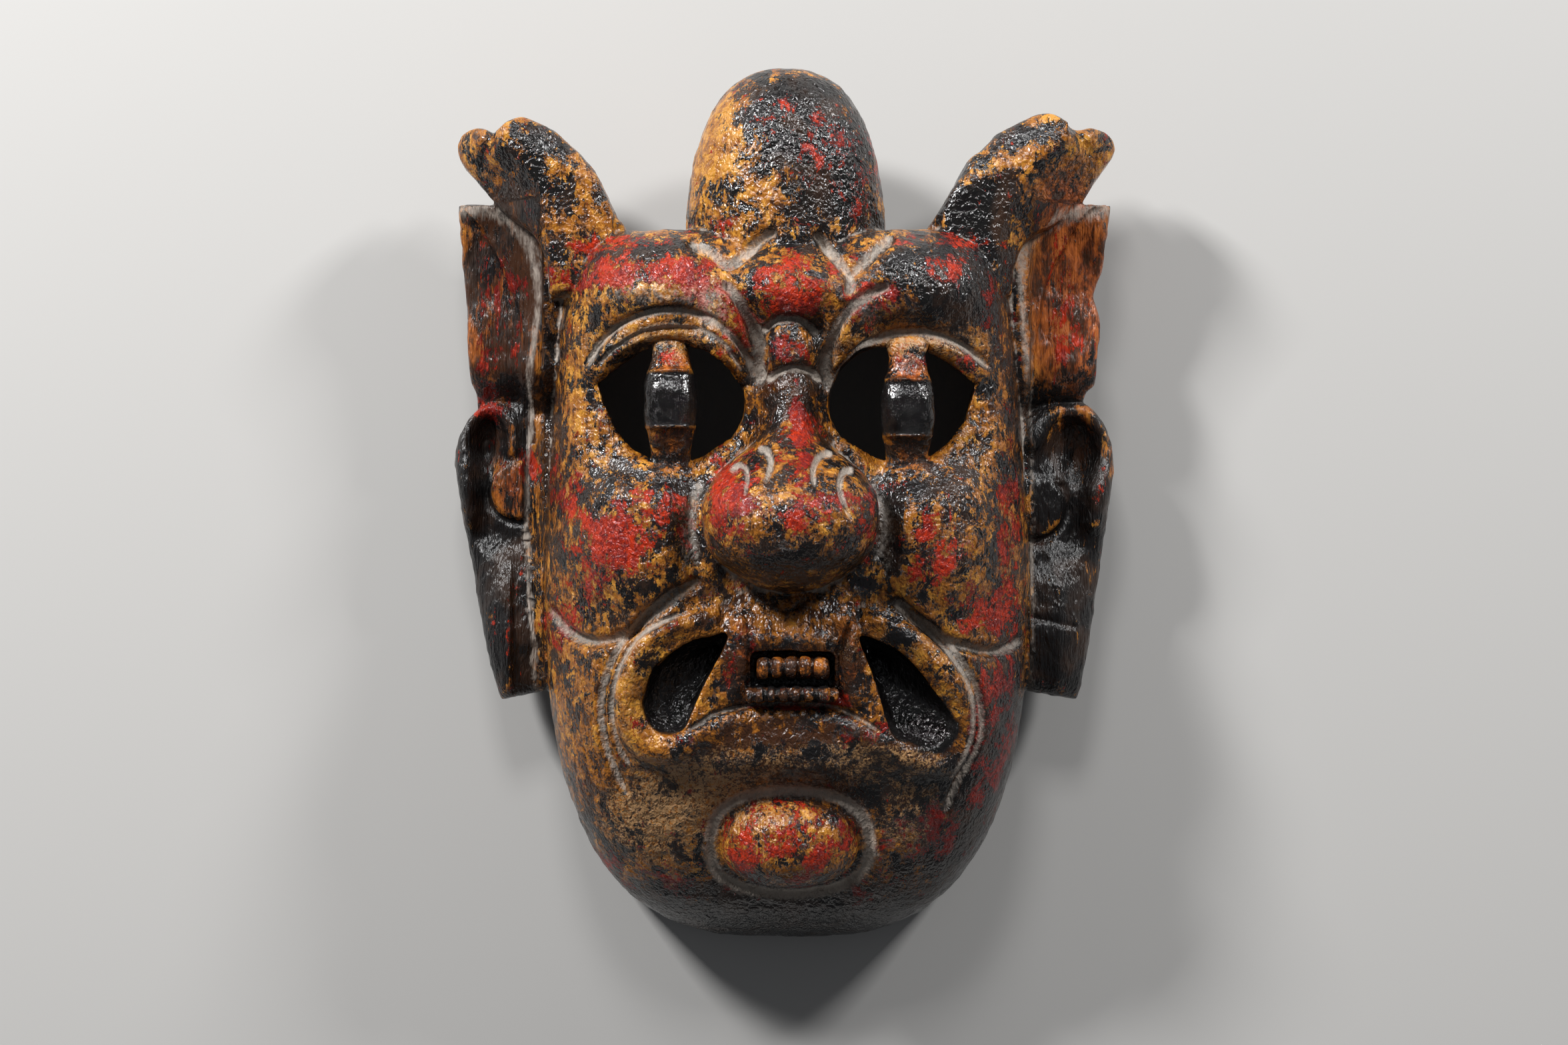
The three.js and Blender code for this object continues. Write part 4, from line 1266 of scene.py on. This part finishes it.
@dataclass
class Paint:
    """Works out how much of each layer lies where, and stores it on the mesh.

    Red and black are stored as the lift that makes noise around 0.5 cover the wanted share when it is cut
    at 0.5: cloud_spread * ln(share / (1 - share)).
    """

    shop: Workshop
    mask: Mask
    cloud_spread: float = 0.042

    @staticmethod
    def hollows(mesh: bpy.types.Mesh, points: Array, normals: Array, rounds: int) -> Array:
        """How deep each vertex lies below its smoothed surroundings, in mask millimetres.

        Each round moves a copy of every vertex to the middle of its neighbours; the depth is the way from
        the vertex to its copy, along the normal.
        """
        edges = np.empty(len(mesh.edges) * 2, dtype=np.int32)
        mesh.edges.foreach_get("vertices", edges)
        a, b = edges.reshape(-1, 2).T
        near = np.bincount(a, minlength=len(points)) + np.bincount(b, minlength=len(points))
        soft = points.copy()
        for _ in range(rounds):
            soft = np.stack([
                np.bincount(a, soft[b, k], len(points)) + np.bincount(b, soft[a, k], len(points)) for k in range(3)
            ], axis=1) / near[:, None]
        return np.einsum("ij,ij->i", soft - points, normals)

    def dress(self, made: bpy.types.Object) -> None:
        """Work out every layer and store it.

        Args:
            made: the carved mask.
        """
        points, normals = self.shop.measure(made)
        x, y, z = points.T
        outside = ~self.mask.face.in_hollow(points, 3.0) & (z > 1.0)
        fine = self.hollows(made.data, points, normals, 6)
        broad = self.hollows(made.data, points, normals, 60)
        dust = np.zeros(len(x))
        for stroke in GROOVES:
            dust = np.maximum(dust, stroke.profile(x, y)[1])
        front = ease(0.0, 0.4, normals[:, 2]) * outside * (np.abs(x) < 112.0)
        seam_x = np.where(x < 0.0, np.interp(y, *SEAM), 112.4) + 0.8 * lattice_noise(points, 9.0, 7)
        seam = np.exp(-(((np.abs(x) - seam_x) / 1.2) ** 2)) * (y > -88.0) * (1.0 - ease(45.0, 100.0, y))
        crease = ease(0.2, 0.9, fine) * 0.5 + ease(1.6, 4.5, broad) * 0.25
        broken = 0.5 + 0.5 * lattice_noise(points * np.array([1.0, 0.45, 1.0]), 3.0, 6)
        beside = seam * np.where(x < 0.0, 0.45 + 0.6 * broken, 0.4) + 0.3 * crease
        dust = np.maximum(dust * front, np.where(np.abs(x) > 109.0, beside, crease * (y > -44.0)))
        pupil = np.zeros(len(x))
        for eye in self.mask.eyes:
            across = np.abs(x - eye.bar_x) < 12.5
            pupil = np.maximum(pupil, across * (1.0 - ease(11.5, 13.0, np.abs(y - eye.pupil_y))) * (z > 70.0))
        pocket = np.zeros(len(x))
        for corner in self.mask.mouth.corners:
            edge = smooth_line(corner.outline, 16, True)
            pocket = np.maximum(pocket, self.inside(x, y, edge) * (1.0 - ease(99.0, 103.0, z)) * (z > 40.0))
        ears = (np.abs(x) > seam_x) * (y < 51.0) * outside
        teeth = (np.abs(x - 3.0) < 22.0) * (y > -85.5) * (y < -61.5)
        # Painted shadow: the blind slot between the two rows of teeth is coloured gloss black.
        gap = (np.abs(x - 2.6) < 18.4) * (np.abs(y + 77.2) < 1.9) * 1.0
        plate = mound((x - 3.0) / 31.0, (y + 66.0) / 18.0, 4.0)
        dust = dust * (1.0 - plate)
        band, crest = self.flap_bands(x, y, z)
        # The pale line along each crest is dust, partly a painted highlight.
        crest = crest * ease(0.1, 0.5, normals[:, 2])
        right = x > 0.0
        low = 1.0 - ease(12.0, 58.0, z + 0.35 * (np.abs(x) > 112.0) * 40.0)
        # Painted sheen: a pale dust-coloured streak on the lower half of the right flap's band.
        painted_band_sheen = band * right * (1.0 - ease(72.0, 108.0, y)) * 0.26
        dust = np.maximum(dust, np.maximum(crest * np.where(right, 0.55, 0.5), painted_band_sheen))
        cover = {coat: sum(m.height(x, y) for m in mounds) for coat, mounds in COVER.items()}
        amounts = {
            Coat.RED: (cover[Coat.RED] * 0.85 + 0.06) * outside * (1.0 - 0.3 * ears) * (1.0 - 0.5 * band * ~right)
            * (1.0 - 0.85 * low),
            Coat.BLACK: np.where(
                ears,
                0.97 - 0.3 * ease(0.5, 1.4, -fine) - cover[Coat.RUST] * 0.5,
                cover[Coat.BLACK] + 0.52 + 0.3 * low - band * np.where(right, 0.45, 0.1),
            ) * outside,
            Coat.RUST: cover[Coat.RUST] * outside,
            # The teeth term is painted shade in the hollows between the teeth.
            Coat.GRIME_AND_SHADE: cover[Coat.GRIME_AND_SHADE] + 0.25 + teeth * ease(0.1, 0.5, fine) * 0.6 + band * ~right * 0.5 + low * 0.5,
            Coat.BARE: cover[Coat.BARE],
            Coat.DUST_AND_SHEEN: np.maximum(dust, cover[Coat.DUST_AND_SHEEN]) * outside * (1.0 - pocket) * (1.0 - pupil),
            Coat.WORN: ease(0.15, 0.9, -fine) * outside,
            Coat.GLOSS_AND_SLOT_SHADOW: np.maximum(np.maximum(pupil, pocket), gap),
            Coat.INSIDE: ~outside * (1.0 - pocket),
            Coat.STREAK: (np.abs(x) > 111.5) * (y < 140.0) * 1.0,
            Coat.SMOOTH: np.maximum(np.maximum(band, pupil), 0.45 * (np.abs(x) > 112.0) * (y < 140.0) * ~ears),
        }
        for coat, amount in amounts.items():
            share = np.clip(amount, 0.0, 1.0)
            if coat in (Coat.RED, Coat.BLACK):
                share = np.clip(share, 0.002, 0.998)
                share = self.cloud_spread * np.log(share / (1.0 - share))
            layer = made.data.attributes.new(coat.value, "FLOAT", "POINT")
            layer.data.foreach_set("value", share.astype(np.float32))

    @staticmethod
    def flap_bands(x: Array, y: Array, z: Array) -> tuple[Array, Array]:
        """The smooth band of each crest flap, and the pale line along its crest (worn dust, partly a painted
        highlight), as masks.
        """
        band, crest = np.zeros(x.shape), np.zeros(x.shape)
        for flap in FLAPS:
            out = x * flap.side
            near = (out > 100.0) & (out < 152.0) & (y > 30.0) & (y < 142.0) & (z > 24.0) & (z < 54.0)
            from_crest = beyond(out[near], y[near], smooth_line(flap.crest, 8))
            from_ridge = beyond(out[near], y[near], smooth_line(flap.ridge, 8))
            band[near] = ease(-2.5, 0.0, from_crest) * (1.0 - ease(-0.9, 0.5, from_ridge))
            broad = 2.0 + 2.6 * ease(90.0, 125.0, y[near])
            crest[near] = np.exp(-(((from_crest - 0.5 * broad) / broad) ** 2)) * ease(40.0, 66.0, y[near])
        return band, crest

    @staticmethod
    def inside(x: Array, y: Array, edge: Array) -> Array:
        """Whether each place lies inside a closed line, by counting the pieces that pass above it."""
        count = np.zeros(x.shape, dtype=int)
        for (ax, ay), (bx, by) in zip(edge, np.roll(edge, -1, axis=0)):
            passes = (ax > x) != (bx > x)
            height = ay + (x - ax) / (bx - ax if bx != ax else 1e-9) * (by - ay)
            count += passes & (height > y)
        return count % 2 == 1


# ---------------------------------------------------------------------------------------------- the material


class NodeBench:
    """Adds nodes to a tree and joins them up."""

    def __init__(self, tree: bpy.types.NodeTree) -> None:
        """Work on this tree."""
        self.tree = tree

    def add(self, kind: str, inputs: dict | None = None, **settings: object) -> bpy.types.Node:
        """Add a node.

        Args:
            kind: its type name.
            inputs: for each input name or number, a value, or an output socket to link.
            **settings: properties of the node.

        Returns:
            The node.
        """
        node = self.tree.nodes.new(kind)
        for name, value in settings.items():
            setattr(node, name, value)
        for name, value in (inputs or {}).items():
            if isinstance(value, bpy.types.NodeSocket):
                self.tree.links.new(value, node.inputs[name])
            else:
                node.inputs[name].default_value = value
        return node

    def math(self, operation: str, a: object, b: object = 0.0, clamp: bool = False) -> bpy.types.NodeSocket:
        """A sum, product, power or the like of two values."""
        return self.add("ShaderNodeMath", {0: a, 1: b}, operation=operation, use_clamp=clamp).outputs[0]

    def attribute(self, name: str) -> bpy.types.NodeSocket:
        """The value that is stored on the mesh under a name."""
        return self.add("ShaderNodeAttribute", attribute_name=name).outputs["Fac"]

    def step(self, value: object, low: object, high: object) -> bpy.types.NodeSocket:
        """A smooth step from 0 at low to 1 at high."""
        return self.add(
            "ShaderNodeMapRange", {"Value": value, "From Min": low, "From Max": high}, interpolation_type="SMOOTHSTEP"
        ).outputs["Result"]

    def noise(self, at: object, scale: float, detail: float, rough: float = 0.55, twist: float = 0.0) -> bpy.types.NodeSocket:
        """Cloudy noise around 0.5."""
        return self.add(
            "ShaderNodeTexNoise",
            {"Vector": at, "Scale": scale, "Detail": detail, "Roughness": rough, "Distortion": twist},
        ).outputs["Fac"]

    def stretch(self, at: object, scale: tuple[float, float, float], shift: float = 0.0) -> bpy.types.NodeSocket:
        """A position scaled on each axis, and shifted so that two noises don't agree."""
        return self.add(
            "ShaderNodeMapping", {"Vector": at, "Scale": scale, "Location": (shift, -shift, 0.5 * shift)}
        ).outputs["Vector"]

    def mix(self, share: object, a: object, b: object) -> bpy.types.NodeSocket:
        """Colour a where share is 0, b where it is 1."""
        node = self.add("ShaderNodeMix", {0: share}, data_type="RGBA")
        for index, value in ((6, a), (7, b)):
            if isinstance(value, bpy.types.NodeSocket):
                self.tree.links.new(value, node.inputs[index])
            else:
                node.inputs[index].default_value = (*value, 1.0)
        return node.outputs[2]

    def blend(self, share: object, a: object, b: object) -> bpy.types.NodeSocket:
        """Value a where share is 0, b where it is 1."""
        return self.add("ShaderNodeMix", {0: share, 2: a, 3: b}, data_type="FLOAT").outputs[0]


def flaking() -> bpy.types.NodeTree:
    """The node group for the edge of a flaking layer: fractal noise and brush lines, lifted and cut at 0.5.

    Returns:
        A group with a mask that is 1 where the layer still holds.
    """
    tree = bpy.data.node_groups.new("flaking", "ShaderNodeTree")
    for name, kind in (("Position", "NodeSocketVector"), ("Scale", "NodeSocketFloat"), ("Lift", "NodeSocketFloat"),
                       ("Lines", "NodeSocketFloat"), ("Dryness", "NodeSocketFloat"), ("Edge", "NodeSocketFloat")):
        tree.interface.new_socket(name, in_out="INPUT", socket_type=kind)
    tree.interface.new_socket("Mask", in_out="OUTPUT", socket_type="NodeSocketFloat")
    bench = NodeBench(tree)
    given = bench.add("NodeGroupInput").outputs
    cloud = bench.noise(given["Position"], given["Scale"], 8.0, 0.82, 0.3)
    brushed = bench.math("MULTIPLY", bench.math("SUBTRACT", given["Lines"], 0.5), given["Dryness"])
    level = bench.math("ADD", bench.math("ADD", cloud, given["Lift"]), brushed)
    low, high = bench.math("SUBTRACT", 0.5, given["Edge"]), bench.math("ADD", 0.5, given["Edge"])
    bench.add("NodeGroupOutput", {"Mask": bench.step(level, low, high)})
    return tree


@dataclass(frozen=True)
class LacqueredWood:
    """Carved wood under worn paint: an ochre ground, black lacquer and red over it, and dust in the creases, with
    painted shade and a painted sheen in places.
    """

    ochre: tuple[float, float, float] = (0.54, 0.24, 0.030)
    amber: tuple[float, float, float] = (0.29, 0.10, 0.011)
    umber: tuple[float, float, float] = (0.045, 0.016, 0.006)
    rust: tuple[float, float, float] = (0.40, 0.10, 0.02)
    rust_deep: tuple[float, float, float] = (0.13, 0.026, 0.007)
    black: tuple[float, float, float] = (0.007, 0.006, 0.006)
    bloom: tuple[float, float, float] = (0.034, 0.017, 0.010)
    red: tuple[float, float, float] = (0.44, 0.028, 0.005)
    red_deep: tuple[float, float, float] = (0.16, 0.010, 0.007)
    dust: tuple[float, float, float] = (0.40, 0.34, 0.285)
    bare: tuple[float, float, float] = (0.36, 0.20, 0.085)
    wood: tuple[float, float, float] = (0.13, 0.065, 0.03)
    wood_deep: tuple[float, float, float] = (0.05, 0.022, 0.011)

    def ground(self, bench: NodeBench, at: object, lines: object, amount: dict) -> bpy.types.NodeSocket:
        """The ochre ground, from bright through amber to umber where varnish and smoke have darkened it and where shade
        is painted in: darker on the right, lower down, under the chin and between the teeth.

        Args:
            bench: where the nodes are added.
            at: position, drawn out along the grain.
            lines: brush lines around 0.5.
            amount: the stored amount of each layer.

        Returns:
            The colour.
        """
        cloud = bench.noise(bench.stretch(at, (1, 1, 1), 9.0), 170.0, 6.0, 0.7, 0.4)
        cloud = bench.math("ADD", cloud, bench.math("MULTIPLY", bench.math("SUBTRACT", lines, 0.5), 0.16))
        dark = bench.math("ADD", cloud, bench.math("MULTIPLY", bench.math("SUBTRACT", amount[Coat.GRIME_AND_SHADE], 0.35), 0.3))
        ochre = bench.mix(bench.step(dark, 0.37, 0.5), self.ochre, self.amber)
        rust = bench.mix(bench.step(dark, 0.42, 0.56), self.rust, self.rust_deep)
        colour = bench.mix(amount[Coat.RUST], ochre, rust)
        return bench.mix(bench.step(dark, 0.51, 0.62), colour, self.umber)

    def build(self) -> bpy.types.Material:
        """The material, on object coordinates and the amounts stored on the mesh."""
        made = bpy.data.materials.new("lacquered_wood")
        made.use_nodes = True
        bench = NodeBench(made.node_tree)
        made.node_tree.nodes.clear()
        still = bench.add("ShaderNodeTexCoord").outputs["Object"]
        amount = {coat: bench.attribute(coat.value) for coat in Coat}
        along = bench.add("ShaderNodeCombineXYZ", {0: 1.0, 1: bench.blend(amount[Coat.STREAK], 0.85, 0.32), 2: 1.0})
        at = bench.add("ShaderNodeVectorMath", {0: still, 1: along.outputs[0]}, operation="MULTIPLY").outputs[0]
        lines = bench.noise(bench.stretch(still, (1000, 48, 600)), 1.0, 3.0, 0.6)
        warped = bench.add("ShaderNodeTexNoise", {"Vector": at, "Scale": 260.0, "Detail": 2.0}).outputs["Color"]
        warped = bench.add("ShaderNodeVectorMath", {0: warped, 1: (0.006, 0.006, 0.006)}, operation="MULTIPLY").outputs[0]
        warped = bench.add("ShaderNodeVectorMath", {0: at, 1: warped}, operation="ADD").outputs[0]
        crack = bench.add("ShaderNodeTexVoronoi", {"Vector": warped, "Scale": 300.0},
                          feature="DISTANCE_TO_EDGE").outputs["Distance"]
        blotch = bench.noise(bench.stretch(still, (1, 0.75, 1), 3.0), 60.0, 3.0, 0.55, 0.5)
        chip = bench.noise(bench.stretch(at, (1, 1, 1), 57.0), 520.0, 4.0, 0.65, 0.3)
        speck = bench.noise(bench.stretch(still, (1, 1, 1), 37.0), 1100.0, 3.0, 0.7)
        colour = self.ground(bench, at, lines, amount)
        grain = bench.math("ADD", bench.math("MULTIPLY", chip, 0.5), bench.math("MULTIPLY", speck, 0.5))
        grain = bench.math("ADD", grain, bench.math("MULTIPLY", amount[Coat.BARE], 0.08))
        worn_bare = bench.math("MULTIPLY", bench.step(amount[Coat.BARE], 0.0, 0.4), bench.step(grain, 0.52, 0.56))
        colour = bench.mix(worn_bare, colour, self.bare)
        # The black lacquer, whose mask also holds painted shade under the chin, then the red over both.
        flakes = flaking()
        lift = bench.math("SUBTRACT", amount[Coat.BLACK], bench.math("MULTIPLY", amount[Coat.WORN], 0.06))
        black_and_shade_mask = bench.add("ShaderNodeGroup", {
            "Position": bench.stretch(at, (1, 1, 1), 3.0), "Scale": 96.0, "Lift": lift, "Lines": lines,
            "Dryness": 0.1, "Edge": 0.012,
        }, node_tree=flakes).outputs["Mask"]
        colour = bench.mix(black_and_shade_mask, colour, bench.mix(bench.step(blotch, 0.45, 0.7), self.black, self.bloom))
        red_mask = bench.add("ShaderNodeGroup", {
            "Position": bench.stretch(at, (1, 1, 1), 21.0), "Scale": 84.0, "Lift": amount[Coat.RED], "Lines": lines,
            "Dryness": 0.06, "Edge": 0.01,
        }, node_tree=flakes).outputs["Mask"]
        shade = bench.math("ADD", bench.math("MULTIPLY", chip, 0.6), bench.math("MULTIPLY", blotch, 0.4))
        shade = bench.math("SUBTRACT", shade, bench.math("MULTIPLY", amount[Coat.GRIME_AND_SHADE], 0.18))
        colour = bench.mix(red_mask, colour, bench.mix(bench.step(shade, 0.34, 0.53), self.red_deep, self.red))
        # Pits and specks through all the paint.
        pit = bench.step(speck, 0.38, 0.28)
        colour = bench.mix(bench.math("MULTIPLY", pit, 0.85), colour, self.black)
        # Gloss black on the pupils and mouth-corner pockets, and painted shadow in the slot between the teeth.
        colour = bench.mix(amount[Coat.GLOSS_AND_SLOT_SHADOW], colour, self.black)
        wood = bench.mix(bench.step(lines, 0.35, 0.65), self.wood_deep, self.wood)
        colour = bench.mix(amount[Coat.INSIDE], colour, wood)
        # Pale dust, with a painted sheen on the right flap's band and a partly painted highlight along the flap crests.
        powder = bench.math("MULTIPLY", bench.math("SUBTRACT", chip, 0.5), 1.1)
        dusty = bench.step(bench.math("ADD", amount[Coat.DUST_AND_SHEEN], powder), 0.12, 0.85)
        dust_and_sheen_mask = bench.math("MULTIPLY", dusty, bench.step(amount[Coat.DUST_AND_SHEEN], 0.02, 0.3))
        dust_and_sheen_mask = bench.math("MULTIPLY", dust_and_sheen_mask, 0.9)
        colour = bench.mix(dust_and_sheen_mask, colour, self.dust)
        # Gloss of each layer.
        rough = bench.blend(black_and_shade_mask, 0.2, 0.14)
        rough = bench.blend(red_mask, rough, 0.15)
        rough = bench.blend(amount[Coat.STREAK], rough, 0.27)
        rough = bench.math("ADD", rough, bench.math("MULTIPLY", bench.math("SUBTRACT", blotch, 0.5), 0.2))
        rough = bench.blend(amount[Coat.BARE], rough, 0.6)
        rough = bench.blend(amount[Coat.GLOSS_AND_SLOT_SHADOW], rough, 0.12)
        rough = bench.blend(amount[Coat.INSIDE], rough, 0.75)
        rough = bench.blend(dust_and_sheen_mask, rough, 0.85)
        # Thickness of each layer, brush lines, wrinkles and pits.
        lump = bench.noise(bench.stretch(at, (1, 1, 1), 71.0), 230.0, 1.0, 0.4, 0.3)
        wrinkle = bench.noise(bench.stretch(at, (1, 1, 1), 83.0), 470.0, 1.5, 0.5, 0.6)
        lumps = bench.math("MULTIPLY", lump, bench.blend(amount[Coat.SMOOTH], 0.6, 0.12))
        height = bench.math("ADD", bench.math("MULTIPLY", black_and_shade_mask, 0.07), bench.math("MULTIPLY", red_mask, 0.14))
        height = bench.math("ADD", height, lumps)
        crackle = bench.math("MULTIPLY", bench.step(crack, 0.0, 0.16), bench.math("ADD", red_mask, 0.35))
        gouged = bench.math("MULTIPLY", lines, bench.blend(amount[Coat.STREAK], 0.16, 0.9))
        height = bench.math("ADD", height, gouged)
        wrinkles = bench.math("MULTIPLY", wrinkle, bench.blend(amount[Coat.SMOOTH], 1.05, 0.25))
        height = bench.math("ADD", height, wrinkles)
        for cloud, share in ((crackle, 0.12), (speck, 0.03), (pit, -0.05)):
            height = bench.math("ADD", height, bench.math("MULTIPLY", cloud, share))
        bump = bench.add("ShaderNodeBump", {"Height": height, "Strength": 1.0, "Distance": 0.0011}).outputs["Normal"]
        shine = bench.blend(red_mask, 0.58, 0.4)
        skin = bench.add("ShaderNodeBsdfPrincipled", {
            "Base Color": colour, "Roughness": rough, "Normal": bump, "Specular IOR Level": shine,
        })
        bench.add("ShaderNodeOutputMaterial", {"Surface": skin.outputs["BSDF"]})
        return made


# ------------------------------------------------------------------------------------------------ the studio


@dataclass
class Studio:
    """A pale floor, soft lights on both sides and above, and a camera that looks straight down."""

    unit: float
    camera_height: float = 1600.0
    camera_x: float = -1.2
    camera_y: float = -6.1
    lens: float = 78.0

    def floor(self) -> bpy.types.Object:
        """A plain pale floor under the back rim."""
        half = 3.0
        mesh = bpy.data.meshes.new("studio_floor")
        corners = [(-half, -half, 0.0), (half, -half, 0.0), (half, half, 0.0), (-half, half, 0.0)]
        mesh.from_pydata(corners, [], [(0, 1, 2, 3)])
        made = bpy.data.objects.new("studio_floor", mesh)
        bpy.context.scene.collection.objects.link(made)
        plain = bpy.data.materials.new("floor")
        plain.use_nodes = True
        skin = plain.node_tree.nodes["Principled BSDF"]
        skin.inputs["Base Color"].default_value = (0.5, 0.49, 0.475, 1.0)
        skin.inputs["Roughness"].default_value = 0.9
        mesh.materials.append(plain)
        return made

    def light(self, name: str, place: tuple[float, float, float], size: float, power: float) -> None:
        """A soft square light that is aimed at the mask.

        Args:
            name: name of the light.
            place: where it hangs, in metres.
            size: length of its sides, in metres.
            power: watts.
        """
        lamp = bpy.data.lights.new(name, "AREA")
        lamp.size = size
        lamp.energy = power
        made = bpy.data.objects.new(name, lamp)
        bpy.context.scene.collection.objects.link(made)
        away = np.array(place) - np.array([0.0, 0.0, 0.08])
        away /= np.linalg.norm(away)
        made.location = place
        made.rotation_euler = (math.acos(away[2]), 0.0, math.atan2(away[1], away[0]) + math.pi / 2.0)

    def build(self) -> None:
        """Set up the floor, the lights, the world and the camera."""
        self.floor()
        self.light("left_softbox", (-1.19, 1.23, 1.06), 0.32, 47.0)
        self.light("right_softbox", (1.28, 1.3, 0.95), 0.32, 29.5)
        self.light("top_softbox", (-0.15, 1.5, 1.45), 0.44, 13.5)
        world = bpy.data.worlds.new("studio")
        world.use_nodes = True
        world.node_tree.nodes["Background"].inputs["Color"].default_value = (0.8, 0.83, 0.88, 1.0)
        world.node_tree.nodes["Background"].inputs["Strength"].default_value = 0.12
        bpy.context.scene.world = world
        bpy.context.scene.view_settings.view_transform = "Standard"
        eye = bpy.data.cameras.new("camera")
        eye.sensor_width = 36.0
        eye.lens = self.lens
        made = bpy.data.objects.new("camera", eye)
        made.location = (self.camera_x * self.unit, self.camera_y * self.unit, self.camera_height * self.unit)
        bpy.context.scene.collection.objects.link(made)
        bpy.context.scene.camera = made


def main() -> None:
    """Carve the mask, paint it, and set up the studio."""
    logging.basicConfig(level=logging.INFO, format="%(message)s")
    low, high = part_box(NODE)
    unit = (high.y - low.y) / MASK_HEIGHT
    shop = Workshop(unit, ((low.x + high.x) / 2.0, (low.y + high.y) / 2.0))
    mask = Mask(shop)
    made = mask.build()
    Paint(shop, mask).dress(made)
    made.data.materials.clear()
    made.data.materials.append(LacqueredWood().build())
    made.data.polygons.foreach_set("use_smooth", np.ones(len(made.data.polygons), dtype=bool))
    made.data.update()
    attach(made, "root")
    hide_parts(NODE)
    LOG.info("mask: %d faces, box %s", len(made.data.polygons), [round(v, 4) for v in made.dimensions])
    Studio(unit).build()


if __name__ == "__main__":
    main()
